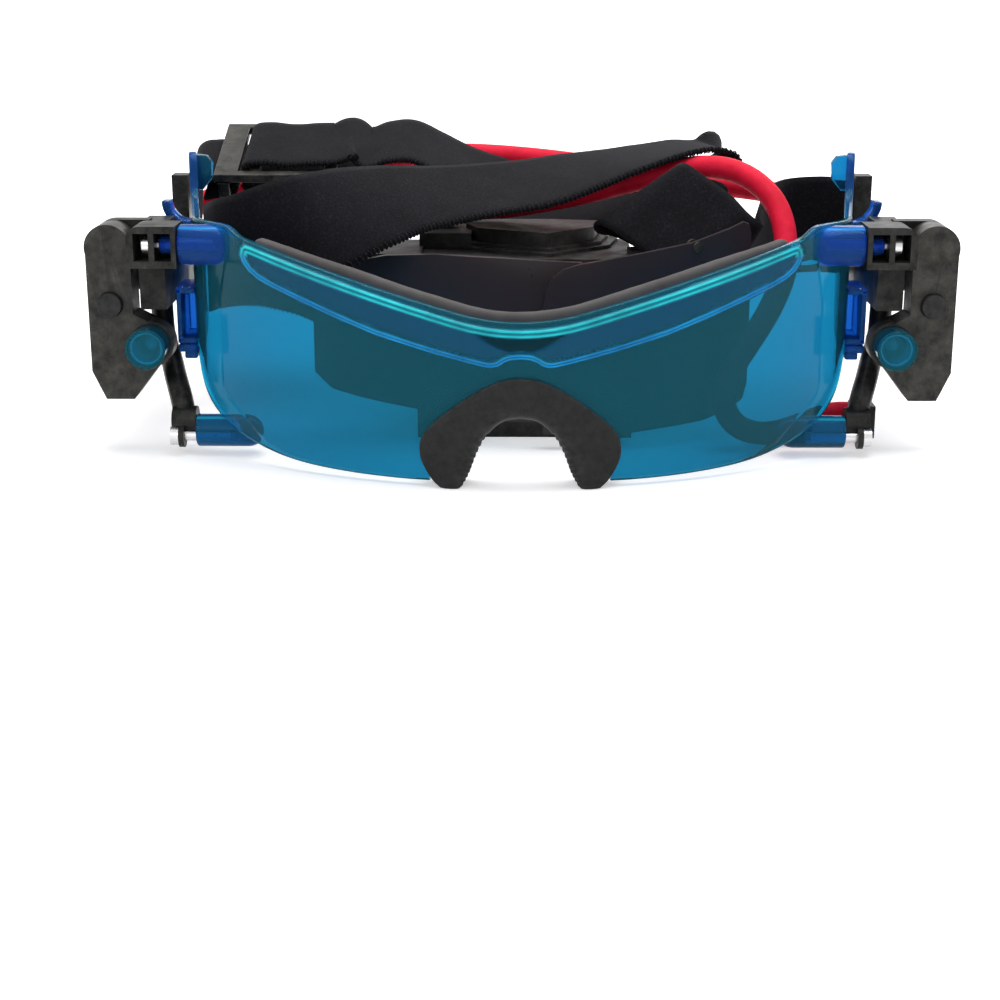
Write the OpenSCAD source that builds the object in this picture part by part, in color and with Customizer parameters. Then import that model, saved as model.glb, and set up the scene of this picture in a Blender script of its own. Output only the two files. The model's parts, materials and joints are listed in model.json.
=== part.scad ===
// Light-up goggles: a wrap-round tinted shield, side frames with flip-out lamps, and a folded head strap.
// Millimetres. X runs along the face, Y away from the viewer, Z up. The goggles stand on z = 0.

/* [Shield] */
// Half width of the curved front, to where each corner starts
face_half = 72; // [68:1:75]
// Radius of the curved front, seen from above
face_radius = 100; // [92:1:112]
// Radius of the corner between front and wing
corner_radius = 14; // [12:1:16]
// Thickness of the moulded shell
shell_wall = 2; // [1.6:0.1:2.4]
// Height of the brow edge above the table, at the middle
brow_height = 36.8; // [35.5:0.1:38]
// Rise of the brow edge for each millimetre to the side
brow_slope = 0.265; // [0.25:0.005:0.28]
// Length of each wing behind its corner
wing_length = 36; // [34:1:38]
// How far the brow band stands out of the shell
band_rise = 1.4; // [0.8:0.1:1.8]
// How far the window area stands out of the shell
window_rise = 0.4; // [0.2:0.1:0.6]
// Radius of the upper screw barrels
top_barrel_radius = 4.6; // [4.2:0.1:4.8]
// Radius of the lower screw barrels
low_barrel_radius = 3.8; // [3.4:0.1:4]

/* [Nose piece and brow pad] */
// Half width of the nose piece
nose_half = 21.8; // [20.5:0.1:23]
// Height of the nose piece's top
nose_height = 24.7; // [24:0.1:25.5]
// Thickness of its flange in front of the shell
nose_flange = 1.4; // [1:0.1:2]
// How far its pads reach behind the shell
nose_pad = 6; // [4:0.5:8]
// Thickness of the brow pad
pad_thick = 3; // [2:0.1:4]
// Height of the brow pad
pad_height = 6; // [4:0.5:8]
// How far the brow pad stands above the shell's edge
pad_rise = 1.8; // [0.8:0.1:2.2]

/* [Screws and pins] */
// Radius of the shield screws
screw_radius = 1.2; // [1:0.05:1.4]
// Radius of their heads
head_radius = 2.3; // [2:0.1:2.6]
// Radius of each lamp's hinge pin
pin_radius = 1.5; // [1.2:0.1:2]

/* [Side frames] */
// Width of the square upper lug
lug_size = 9.4; // [9:0.1:9.8]
// Thickness of the rear plate that holds the strap
plate_thick = 4; // [3.6:0.1:4.4]
// Radius of the curved lower arm
arm_radius = 2.6; // [2.2:0.1:2.8]
// Thickness of the hinge ear
ear_thick = 4; // [3:0.1:5]

/* [Lamps] */
// Radius of the lamp barrel
lamp_radius = 4.6; // [4.2:0.1:4.8]
// How far the lamp barrel stands out of its pod
lamp_reach = 6; // [4:0.5:8]
// Wall of the lamp barrel
lamp_wall = 0.8; // [0.6:0.1:1]
// Depth of a pod, front to back
pod_depth = 8.2; // [8:0.1:8.6]
// Wall of a pod
pod_wall = 1.5; // [1.2:0.1:1.6]
// Radius of the knuckle round the hinge pin
knuckle_radius = 5.3; // [4.6:0.1:5.8]
// Radius of the push button
button_radius = 2.8; // [2.4:0.1:3]
// Travel of the push button
button_travel = 1.2; // [0.8:0.1:1.4]

/* [Head strap] */
// Width of the webbing
strap_width = 25; // [22:0.5:25.4]
// Thickness of the webbing
strap_thick = 1.4; // [1:0.1:1.5]
// Thickness of the slider
slider_thick = 2.2; // [1.8:0.1:2.4]

/* [Pack] */
// Radius of a cell
cell_radius = 5.25; // [5:0.05:5.4]
// Length of a cell
cell_length = 44.5; // [42:0.5:46]
// Wall of the pack
pack_wall = 1.8; // [1.4:0.1:2.2]
// Height of the pack
pack_height = 43; // [41:0.5:43.5]
// Height of the hexagonal block on top
block_height = 5; // [3:0.5:5]
// Height of the curved glossy band at its middle
band_height = 44; // [42:0.5:46]
// Height of its lower edge above the table
band_clear = 6; // [5:0.5:8]
// Thickness of that band
band_thick = 1.8; // [1.4:0.1:2]

/* [Cord] */
// Diameter of the red cord
cord_size = 5.5; // [5:0.1:5.6]

/* [Hidden] */
$fn = 48;

// Clearance of a seated piece, and of a hole round its screw
seat = 0.1;
running = 0.05;

// Plan curve of the shield: a wide arc, two corners and two straight wings
face_turn = asin(face_half / face_radius);
wing_turn = 80;
face_depth = face_radius * (1 - cos(face_turn));
corner_x = (face_radius - corner_radius) * sin(face_turn);
corner_y = face_radius - (face_radius - corner_radius) * cos(face_turn);
wing_x = corner_x + corner_radius * sin(wing_turn);
wing_y = corner_y - corner_radius * cos(wing_turn);
wing_end_x = wing_x + wing_length * cos(wing_turn);
wing_end_y = wing_y + wing_length * sin(wing_turn);
side_top = brow_height + brow_slope * 62 + 0.6;
lens_bottom = 1.2;
wing_bottom = 25;

// Screw barrels and the lugs that they meet
barrel_tip = wing_x + 1.3;
low_barrel_tip = wing_x - 0.8;
barrel_y = face_depth - 1.6;
top_barrel_z = side_top - 5.1;
low_barrel_z = 5.6;
top_barrel_long = 8.6;
low_barrel_long = 12;
pilot_long = 9;
top_screw_y = barrel_y - 0.6;
low_screw_y = barrel_y - 1.4;
low_screw_z = low_barrel_z - 1;
lug_tip = barrel_tip + 11.2;
web_x = barrel_tip + 4.9;
web_thick = 1.3;
low_web_x = low_barrel_tip + 2.7;

// Lamps: the pod turns about a pin along Y at its top
lamp_x = wing_x + 9.7;
lamp_z = 25.3;
pivot_x = lamp_x + 8.6;
pivot_z = top_barrel_z - 1.2;
pod_back = face_depth + 8.6;
pod_front = pod_back - pod_depth;
pod_out = pivot_x + knuckle_radius;
lamp_front = pod_front - lamp_reach;
board_thick = 1;
cover_thick = pod_wall;
board_y = pod_back - cover_thick - board_thick - seat;
lamp_hole = lamp_radius + seat;
lamp_ring = 0.7;
button_z = 34.6;
button_flange = 0.7;
ear_y = pod_back + 0.3;

// Rear plates of the side frames
strap_gap = 0.3;
plate_x = wing_end_x + 0.8;
plate_mid = plate_x + plate_thick / 2;
plate_end = wing_end_y + 7.2;
slot_depth = 5.2;
strap_mid_z = 45;
gland_x = plate_x + plate_thick + 4.5;
gland_z = 38;
gland_y = 68;

// Curved glossy band behind the shield
band_centre = [5, 119];
band_radius = 85;
band_gap = 0.2;

// Pack
pack_mid = 1;
pack_length = cell_length + 2 * pack_wall + 3.1;
pack_left = pack_mid - pack_length / 2;
pack_right = pack_mid + pack_length / 2;
pack_front = 44.5;
pack_back = 77;
cell_fit = 0.25;
cell_pitch = 2 * cell_radius + 0.5;
cell_y = pack_back - cell_radius - cell_fit;
cell_z = 14;
strap_y = 61;
strap_low_z = 25;
lug_reach = 5.2;

// Slider, tilted back as it lies on the folded strap
slider_at = [-61, 94, 62.5];
slider_tilt = 19;
slider_left = -16.2;
slider_right = 14.5;
slider_wide = strap_width + 6;
slider_bar = 3.2;
slider_plate = 6;
loop_bar = [-7.4, -4.7];
bridge_bar = [-15.2, -12.4];
bridge_up = [-5.2, -3.6];

// Cord exits at the pack and at the foot of the right side frame
pack_gland = [-15, 72, 51.2];
low_gland = [low_barrel_tip + 3.1, barrel_y + 12, low_barrel_z + 1.4];

// Moves the model so that its own origin is under the middle of its box, cord apart
front_edge = -window_rise - nose_flange - seat;
back_edge = slider_at[1] + slider_wide / 2 * cos(slider_tilt) + slider_thick / 2 * sin(slider_tilt);
depth_shift = -(front_edge + back_edge) / 2;

// Hand-chosen route of the strap from its free end, through the slider, over the pack to the pack's left
// lug: each entry is a place and the direction of the webbing's width
across = [0, cos(slider_tilt), sin(slider_tilt)];
function on_slider(along, up) =
    slider_at + [along, -up * sin(slider_tilt), up * cos(slider_tilt)];
strap_long_route = [
    [[-5, 95, 55], [0, 0.9, 0.4]],
    [[-13, 95, 58.5], across],
    [[-21, 94, 62.5], across],
    [[-28, 94, 65.5], across],
    [[-34, 94, 65.2], across],
    [[-39, 94, 63.8], across],
    [[-43, 94, 66], across],
    [on_slider(13.5, 2.6), across],
    [on_slider(8, 2.4), across],
    [on_slider(2, 2), across],
    [on_slider(-4, 2.6), across],
    [on_slider(-8.4, 1.9), across],
    [on_slider(-8.8, -1.8), across],
    [on_slider(-9, -4.2), across],
    [on_slider(-5, -6), across],
    [on_slider(2, -6.4), across],
    [on_slider(9, -6.6), across],
    [on_slider(16, -6.8), across],
    [[-38, 95, 54], across],
    [[-28, 94.5, 51.8], across],
    [[-14, 94, 49.6], across],
    [[2, 93, 48.4], across],
    [[16, 91, 49.4], [0, 0.95, 0.3]],
    [[30, 88.5, 52.6], [0, 0.96, 0.24]],
    [[41, 86.5, 57.4], [-0.05, 0.99, 0.08]],
    [[47.5, 86, 60.4], [-0.05, 1, -0.04]],
    [[50, 85.5, 62.8], [-0.05, 0.99, -0.12]],
    [[47.5, 84, 64.8], [-0.05, 0.99, -0.08]],
    [[42, 81.5, 65.6], [-0.05, 1, 0]],
    [[33, 77, 64.6], [-0.05, 1, 0.06]],
    [[24, 72, 63], [-0.08, 0.98, 0.14]],
    [[14, 67, 61], [-0.08, 0.96, 0.25]],
    [[3, 61, 58.9], [-0.1, 0.94, 0.33]],
    [[-8, 56, 58], [-0.12, 0.93, 0.36]],
    [[-19, 51, 57.4], [-0.17, 0.9, 0.42]],
    [[-29, 45, 57], [-0.3, 0.8, 0.53]],
    [[-38, 38, 55.5], [-0.4, 0.6, 0.7]],
    [[-46, 33, 53], [-0.4, 0.35, 0.85]],
    [[-54, 32, 50.5], [-0.3, 0.15, 0.94]],
    [[-62, 34, 47.6], [-0.1, 0.05, 1]],
    [[-69.4, 40, 45.2], [0, 0, 1]],
    [[-74, 50, 42.6], [0, 0, 1]],
    [[-75.6, 60, 40.4], [0, 0, 1]],
    [[-73, 69.5, 39.6], [0, 0, 1]],
    [[-66, 76, 38.6], [0, 0, 1]],
    [[-56, 77.4, 36], [0, 0, 1]],
    [[-47, 72.5, 33], [0, 0, 1]],
    [[-41, 67.5, 28.6], [0, 0, 1]],
    [[-36.4, 63.2, 26.2], [0, 0, 1]],
    [[pack_left - lug_reach - 3, strap_y + 0.2, strap_low_z + 0.1], [0, 0, 1]],
    [[pack_left - lug_reach + 0.4, strap_y, strap_low_z], [0, 0, 1]],
    [[pack_left - 2, strap_y, strap_low_z], [0, 0, 1]]];
// Route of the strap from the right side frame, up over the pack's end and down to the pack's right lug
strap_right_route = [
    [[plate_mid, plate_end - slot_depth + 0.4, strap_mid_z], [0, 0, 1]],
    [[plate_mid, plate_end + 1, strap_mid_z], [0, 0, 1]],
    [[82, 86.5, 45], [0, 0, 1]],
    [[75, 89, 45], [0, 0, 1]],
    [[67, 87, 44.5], [0, 0, 1]],
    [[62, 79, 43.5], [-0.04, -0.15, 0.99]],
    [[57.5, 70, 41.5], [0.09, -0.24, 0.97]],
    [[54, 62, 40], [0.26, -0.22, 0.94]],
    [[51.5, 55.5, 39.5], [0.5, -0.12, 0.86]],
    [[48.5, 51.2, 41.5], [0.63, 0.04, 0.77]],
    [[44.8, 48.8, 45], [0.71, 0.25, 0.66]],
    [[40.5, 51.2, 49.5], [0.76, 0.28, 0.59]],
    [[35, 53.8, 53.2], [0.76, 0.28, 0.59]],
    [[30.6, 56.4, 56], [0.76, 0.28, 0.59]],
    [[28, 59.6, 56.2], [0.82, 0.2, 0.54]],
    [[28.6, 61.6, 53.4], [0.84, 0.08, 0.53]],
    [[34.8, 62.2, 52.2], [0.78, 0, 0.62]],
    [[43, 62, 47.2], [0.55, 0, 0.83]],
    [[43.5, 61.8, 39.5], [0.32, 0, 0.95]],
    [[41.8, 61.4, 31.5], [0.1, 0, 1]],
    [[pack_right + lug_reach + 6, strap_y, strap_low_z + 1.4], [0, 0, 1]],
    [[pack_right + lug_reach + 2.4, strap_y, strap_low_z], [0, 0, 1]],
    [[pack_right + lug_reach - 0.4, strap_y, strap_low_z], [0, 0, 1]],
    [[pack_right + 2, strap_y, strap_low_z], [0, 0, 1]]];
// Route of the short strap, from the left side frame up to the slider's left bar
strap_short_route = [
    [[-plate_mid, plate_end - slot_depth + 0.8, strap_mid_z], [0, 0, 1]],
    [[-plate_mid, plate_end + 0.8, strap_mid_z], [0, 0, 1]],
    [[-plate_mid, plate_end + 6.8, 46.2], [0, -0.42, 0.91]],
    [[-plate_mid, plate_end + 11.2, 49.4], [0, -0.77, 0.64]],
    [[-plate_mid, plate_end + 13.4, 53.4], [0, -0.97, 0.26]],
    [[-84.4, 94.6, 57], [0, -1, -0.1]],
    [[-82.8, 94.8, 59.6], -across],
    [on_slider(-18.8, -2.3), -across],
    [on_slider(-15.6, -2.3), -across],
    [on_slider(-12.4, -2.5), -across],
    [on_slider(-11.2, -4.4), -across],
    [on_slider(-12.6, -6.3), -across],
    [on_slider(-16.2, -6.6), -across],
    [on_slider(-19.6, -7.2), -across]];
// Route of the cord from the pack, round the loop at the right, down to the foot of the right side frame
pack_lead_route = [
    pack_gland, pack_gland + [4, 0, 0], pack_gland + [8, 0, 0], [0, 71, 52.2], [8, 69.5, 53.8],
    [16, 68.5, 55.6], [24, 68.5, 57.6], [32, 69, 59.3], [40, 69.4, 61.4], [48, 67.4, 62],
    [55, 63.4, 60], [60.4, 57.6, 55.2], [62.6, 52, 48.4], [62, 46.5, 40.5], [58.2, 41.4, 32.4],
    [53.2, 37.2, 25.2], [48.8, 34.2, 19.2], [46.6, 33, 12.8], [48.6, 33.4, 7.2], [53.4, 35.6, 3.8],
    [59.8, 38, 3], [66.6, 40.2, 4.8], low_gland - [5.4, 0, 0], low_gland - [2.7, 0, 0], low_gland];
// Route of the cord from one side frame to the other, behind the slider and the folded strap
link_lead_route = [
    [-gland_x, gland_y, gland_z], [-gland_x, gland_y + 4, gland_z], [-gland_x, gland_y + 9, gland_z],
    [-91.5, 88, 39.4], [-91, 98, 42.5], [-87.5, 108, 46.5],
    [-78, 114, 50.5], [-64, 115, 53.5], [-52, 114.5, 56], [-40, 114, 58], [-28, 113, 59.6],
    [-16, 112, 60.4], [-4, 110.5, 60], [8, 107.5, 59.2], [20, 106, 57.8], [33, 105.5, 55.8],
    [46, 104.5, 53.8], [59, 102.5, 52.4], [71, 99.5, 50.8], [81.5, 96, 47.6], [88.5, 88, 42.4],
    [gland_x, gland_y + 9, gland_z], [gland_x, gland_y + 4, gland_z], [gland_x, gland_y, gland_z]];

// Vector and curve functions
function unit(v) = v / norm(v);
function square_to(v, along) = unit(v - (v * along) * along);
function curve_at(a, b, c, d, t) =
    0.5 * (2 * b + (c - a) * t + (2 * a - 5 * b + 4 * c - d) * t * t + (3 * b - a - 3 * c + d) * t * t * t);
function smooth(list, steps) = [
    for (i = [0 : len(list) - 2], k = [0 : steps - 1])
        curve_at(list[max(i - 1, 0)], list[i], list[i + 1], list[min(i + 2, len(list) - 1)], k / steps),
    list[len(list) - 1]];
function heading(points, i) = unit(points[min(i + 1, len(points) - 1)] - points[max(i - 1, 0)]);
function column(list, k) = [for (entry = list) entry[k]];

// Side walls between rings of equal length, and the two end caps, as triangles
function tube_faces(rings, sides) = concat(
    [for (i = [0 : rings - 2], k = [0 : sides - 1])
        [i * sides + k, (i + 1) * sides + k, i * sides + (k + 1) % sides]],
    [for (i = [0 : rings - 2], k = [0 : sides - 1])
        [(i + 1) * sides + k, (i + 1) * sides + (k + 1) % sides, i * sides + (k + 1) % sides]],
    [for (k = [1 : sides - 2]) [0, k, k + 1]],
    [for (k = [1 : sides - 2]) [0, k + 1, k] + (rings - 1) * sides * [1, 1, 1]]);

// Flat webbing swept along a route, its width square to the route, or as given where it fans out
module webbing(route, steps, fanned = false) {
    mids = smooth(column(route, 0), steps);
    widths = smooth(column(route, 1), steps);
    count = len(mids);
    points = [for (i = [0 : count - 1])
        let (
            along = heading(mids, i),
            wide = (fanned ? unit(widths[i]) : square_to(widths[i], along)) * strap_width / 2,
            deep = unit(cross(along, wide)) * strap_thick / 2)
        each [mids[i] - wide - deep, mids[i] + wide - deep, mids[i] + wide + deep, mids[i] - wide + deep]];
    polyhedron(points, tube_faces(count, 4), convexity = 12);
}

// Round tube swept along a route
module round_tube(route, radius, sides, steps) {
    mids = smooth(route, steps);
    count = len(mids);
    first = square_to([0.2, 0.3, 1], heading(mids, 0));
    normals = [for (i = 0, n = first; i < count;
        i = i + 1, n = i < count ? square_to(n, heading(mids, i)) : n) n];
    points = [for (i = [0 : count - 1])
        let (
            along = heading(mids, i),
            a = square_to(normals[i], along),
            b = cross(along, a))
        for (k = [0 : sides - 1])
            mids[i] + radius * (a * cos(360 * k / sides) + b * sin(360 * k / sides))];
    polyhedron(points, tube_faces(count, sides), convexity = 12);
}

// Cylinders along X and along Y
module bar_x(from_x, to_x, y, z, radius) {
    translate([from_x, y, z]) rotate([0, 90, 0]) cylinder(r = radius, h = to_x - from_x);
}
module bar_y(from_y, to_y, x, z, radius) {
    translate([x, from_y, z]) rotate([-90, 0, 0]) cylinder(r = radius, h = to_y - from_y);
}
// Outline in X and Z, made solid along Y, and outline in Y and Z, made solid along X
module slab_y(from_y, to_y) {
    translate([0, to_y, 0]) rotate([90, 0, 0]) linear_extrude(to_y - from_y) children();
}
module slab_x(from_x, to_x) {
    translate([from_x, 0, 0]) rotate([90, 0, 90]) linear_extrude(to_x - from_x) children();
}
module block(low, high) {
    translate(low) cube(high - low);
}
module both_sides() {
    children();
    mirror([1, 0, 0]) children();
}
// Draws a piece modelled on the right at the chosen side
module on_side(side) {
    if (side == "right") children();
    else mirror([1, 0, 0]) children();
}
module in_place() {
    translate([0, depth_shift, 0]) children();
}

// Plan of the shield, moved inwards by a distance: right half from the middle to the wing's end
face_steps = 14;
corner_steps = 6;
function half_plan(inset) = concat(
    [for (i = [0 : face_steps]) let (a = face_turn * i / face_steps)
        [(face_radius - inset) * sin(a), face_radius - (face_radius - inset) * cos(a)]],
    [for (i = [1 : corner_steps]) let (a = face_turn + (wing_turn - face_turn) * i / corner_steps)
        [corner_x + (corner_radius - inset) * sin(a), corner_y - (corner_radius - inset) * cos(a)]],
    [[wing_end_x - inset * sin(wing_turn), wing_end_y + inset * cos(wing_turn)]]);
function reverse(list) = [for (i = [len(list) - 1 : -1 : 0]) list[i]];
function other_half(list) = [for (i = [len(list) - 1 : -1 : 1]) [-list[i][0], list[i][1]]];
function whole_plan(inset) = concat(other_half(half_plan(inset)), half_plan(inset));
module skin(outer, inner, height) {
    linear_extrude(height) polygon(concat(whole_plan(outer), reverse(whole_plan(inner))));
}

// Brow lines: a shallow V with its point rounded, a drop below the brow edge
bend_half = 14;
function brow_line(x, drop, slope) = brow_height - drop + slope * (
    abs(x) > bend_half ? abs(x) : (x * x / bend_half + bend_half) / 2);
function mirror_x(list) = [for (p = reverse(list)) [-p[0], p[1]]];
brow_xs = [for (x = [0 : 3.5 : 14]) x];
brow_lower = 2;

// Height of the horns above the wings, and a height that clears the whole shell
horn_height = 11.2;
shell_top = side_top + horn_height + 4;
// Front outline of the shell
module face_outline() {
    right = concat(
        [for (x = brow_xs) [x, brow_line(x, brow_lower, brow_slope)]],
        [[corner_x - 1.9, brow_line(corner_x - 1.9, brow_lower, brow_slope)], [corner_x + 4, side_top - 0.3],
            [corner_x + 8, side_top], [wing_x + 4, side_top], [wing_x + 4, wing_bottom],
            [wing_x - 0.6, 22], [wing_x - 2, 16], [wing_x - 4.7, 11], [wing_x - 9.7, 7], [wing_x - 17.7, 4],
            [wing_x - 26.3, 2.3], [wing_x / 2, 1.5], [26, lens_bottom], [0, lens_bottom]]);
    polygon(concat(right, mirror_x(right)));
}
// Raised brow band, with a small arch over the nose
module band_outline() {
    top = concat([for (x = brow_xs) [x, brow_line(x, brow_lower + 1.5, brow_slope + 0.015)]],
        [[corner_x - 2.4, brow_line(corner_x - 2.4, brow_lower + 1.5, brow_slope + 0.015)],
            [corner_x - 0.3, side_top - 3.6], [corner_x + 0.4, side_top - 5.2]]);
    low = [[corner_x - 0.7, side_top - 8.4], [corner_x - 3.3, side_top - 10.7],
        [corner_x - 6.4, side_top - 12.1], [42, 36.8], [32, 33.3], [20, 30], [9.4, 27.4], [7.4, 27],
        [6.2, 26.9], [4.8, 27.2], [3.6, 28], [2.2, 28.6], [0, 28.8]];
    polygon(concat(top, low, mirror_x(concat(top, low))));
}
// Window area inside the step line
module window_outline() {
    right = [[0, 40], [corner_x - 1.9, 46], [wing_x - 9.7, 45.8], [wing_x - 7.7, 36.5], [wing_x - 7.7, 17],
        [wing_x - 9.3, 14], [wing_x - 18.2, 5.6], [wing_x - 23.7, 3.6], [wing_x / 2, 2.4], [26, 2], [0, 2]];
    polygon(concat(right, mirror_x(right)));
}
// Outline of a wing, seen from the side, with its hooked rear horn
module wing_outline() {
    polygon([[wing_y - 0.4, wing_bottom], [wing_y - 0.4, side_top], [wing_y + 1, side_top],
        [wing_y + 3.5, side_top - 1.6], [wing_y + 12, side_top - 1.8], [wing_y + 20, side_top - 0.4],
        [wing_end_y - 10, side_top + 1.6], [wing_end_y - 7.4, side_top + 5],
        [wing_end_y - 6.6, side_top + horn_height - 2.2], [wing_end_y - 4.6, side_top + horn_height - 0.2],
        [wing_end_y - 2, side_top + horn_height], [wing_end_y - 0.2, side_top + horn_height - 2.2],
        [wing_end_y - 0.2, wing_bottom + 4], [wing_end_y - 6, wing_bottom + 1.5]]);
}
// Nose cut-out and nose piece share one outline, drawn smaller by an inset
module nose_outline(inset) {
    wide = nose_half - inset;
    high = nose_height - inset;
    right = [[0, high], [wide * 0.2, high - 0.7], [wide * 0.4, high - 2.7], [wide * 0.6, high - 5.6],
        [wide * 0.8, high - 9], [wide * 0.93, high - 12], [wide, high - 14.6], [wide * 0.98, high - 18.5],
        [wide * 0.88, high - 22.5]];
    foot = [[wide * 0.8, 0], [wide * 0.58, 0]];
    arch = [[10.8, 3.4], [9.6, 6.8], [8.2, 10.2], [6.6, 12.6], [4, 14.4], [0, 15.3]];
    low = inset > 0 ? [[wide * 0.82, -1]] : concat(foot, arch);
    polygon(concat(right, low, mirror_x(concat(right, low))));
}

module shield() color([0.05, 0.45, 0.75, 0.6]) in_place() {
    top_start = barrel_tip - top_barrel_long;
    low_start = low_barrel_tip - low_barrel_long;
    difference() {
        union() {
            intersection() {
                skin(0, shell_wall, shell_top);
                union() {
                    slab_y(-5, wing_y - 0.2) face_outline();
                    both_sides() slab_x(corner_x - 20, wing_end_x + 20) wing_outline();
                }
            }
            intersection() {
                skin(-band_rise, 0.5, shell_top);
                slab_y(-5, wing_y + 2) band_outline();
            }
            intersection() {
                skin(-window_rise, 0.5, shell_top);
                slab_y(-5, wing_y + 2) window_outline();
            }
            both_sides() {
                bar_x(top_start, barrel_tip, barrel_y, top_barrel_z, top_barrel_radius);
                translate([top_start, barrel_y, top_barrel_z]) sphere(r = top_barrel_radius);
                bar_x(barrel_tip - 1, web_x - 0.6, top_screw_y, top_barrel_z, screw_radius + 0.9);
                bar_x(low_start, low_barrel_tip, barrel_y, low_barrel_z, low_barrel_radius);
                translate([low_start, barrel_y, low_barrel_z]) sphere(r = low_barrel_radius);
                cord_hook();
                lamp_bracket();
                horn_rib();
            }
        }
        slab_y(-6, 12) nose_outline(2);
        both_sides() {
            bar_x(barrel_tip - pilot_long, lug_tip, top_screw_y, top_barrel_z, screw_radius + running);
            bar_x(low_barrel_tip - pilot_long, lug_tip, low_screw_y, low_screw_z, screw_radius + running);
        }
    }
}
// Curled tab on the outside of the wing that holds a cord
hook_radius = 6.4;
module cord_hook() {
    hook_x = wing_x + 2.9;
    hook_z = side_top + 1.6;
    intersection() {
        difference() {
            bar_y(wing_y + 13, wing_y + 18.5, hook_x, hook_z, hook_radius);
            bar_y(wing_y + 12, wing_y + 20, hook_x, hook_z, hook_radius - 1.9);
        }
        block([hook_x - 0.6, wing_y + 10, hook_z - hook_radius - 1], [hook_x + 10, wing_y + 22, hook_z]);
    }
}
// Open box and lug beside the lamp barrel
module lamp_bracket() {
    outer_x = lamp_x - lamp_hole - lamp_ring - 0.6;
    difference() {
        block([wing_x - 1, wing_y - 4, 25], [outer_x, wing_y + 8, 38]);
        block([wing_x + 0.9, wing_y - 6, 26.4], [outer_x - 1.2, wing_y + 6.6, 36.6]);
    }
    difference() {
        block([wing_x - 1, wing_y - 4, 21.4], [outer_x, wing_y + 3, 24.8]);
        block([outer_x - 1.4, wing_y - 6, 20], [outer_x + 1, wing_y + 4, 22.9]);
    }
}
// Flange of the horn, turned in across its rear edge
module horn_rib() {
    tip = side_top + horn_height;
    slab_y(wing_end_y - 3, wing_end_y - 0.6)
        polygon([[wing_end_x - 0.5, side_top + 2], [wing_end_x - 0.5, tip - 1.6],
            [wing_end_x - 2.4, tip - 0.6], [wing_end_x - 5, tip - 0.9], [wing_end_x - 6.2, tip - 2.6],
            [wing_end_x - 5.8, side_top + 4.6], [wing_end_x - 3.6, side_top + 2]]);
}

module brow_pad() color([0.16, 0.14, 0.13]) in_place() {
    drop = brow_lower - pad_rise;
    top = concat([for (x = brow_xs) [x, brow_line(x, drop, brow_slope)]],
        [[corner_x, brow_line(corner_x, drop, brow_slope)]]);
    low = [for (p = reverse(top)) [p[0], p[1] - pad_height]];
    intersection() {
        skin(shell_wall + seat, shell_wall + seat + pad_thick, shell_top);
        slab_y(-1, wing_y + 2) polygon(concat(top, low, mirror_x(concat(top, low))));
    }
}

nose_ribs = 6;
module nose_piece() color([0.05, 0.05, 0.055]) in_place() difference() {
    union() {
        intersection() {
            skin(-window_rise - nose_flange - seat, -window_rise - seat, 40);
            slab_y(-6, 14) nose_outline(0);
        }
        intersection() {
            skin(-window_rise - seat - 0.01, shell_wall + nose_pad, 40);
            slab_y(-6, 20) intersection() {
                nose_outline(2 + seat);
                nose_outline(0);
            }
        }
        intersection() {
            skin(shell_wall + seat, shell_wall + nose_pad, 40);
            slab_y(-6, 20) nose_outline(0);
        }
    }
    both_sides() for (i = [0 : nose_ribs - 1])
        bar_y(-6, 20, 11.2 - i * 0.85, 3 + i * 1.75, 0.45);
}

module self_tapper(from_x, to_x, y, z, radius) {
    difference() {
        bar_x(from_x - 1.9, from_x, y, z, radius);
        block([from_x - 0.5, y - radius * 0.7, z - 0.3], [from_x + 1, y + radius * 0.7, z + 0.3]);
        block([from_x - 0.5, y - 0.3, z - radius * 0.7], [from_x + 1, y + 0.3, z + radius * 0.7]);
    }
    bar_x(to_x, from_x - 1.8, y, z, screw_radius);
}
module shield_screws() color([0.8, 0.8, 0.82]) in_place() both_sides() {
    seat_x = web_thick + 1.95;
    tip_x = 1 - pilot_long;
    self_tapper(web_x + seat_x, barrel_tip + tip_x, top_screw_y, top_barrel_z, head_radius);
    self_tapper(low_web_x + seat_x, low_barrel_tip + tip_x, low_screw_y, low_screw_z, head_radius - 0.1);
}

// Front outline of the upper lug, with its outer top corner rounded
lug_corner = 3;
module lug_outline(left, right, low, high) {
    polygon(concat([[left, high], [left, low], [right, low]],
        [for (a = [0 : 15 : 90])
            [right - lug_corner + lug_corner * cos(a), high - lug_corner + lug_corner * sin(a)]]));
}
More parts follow.
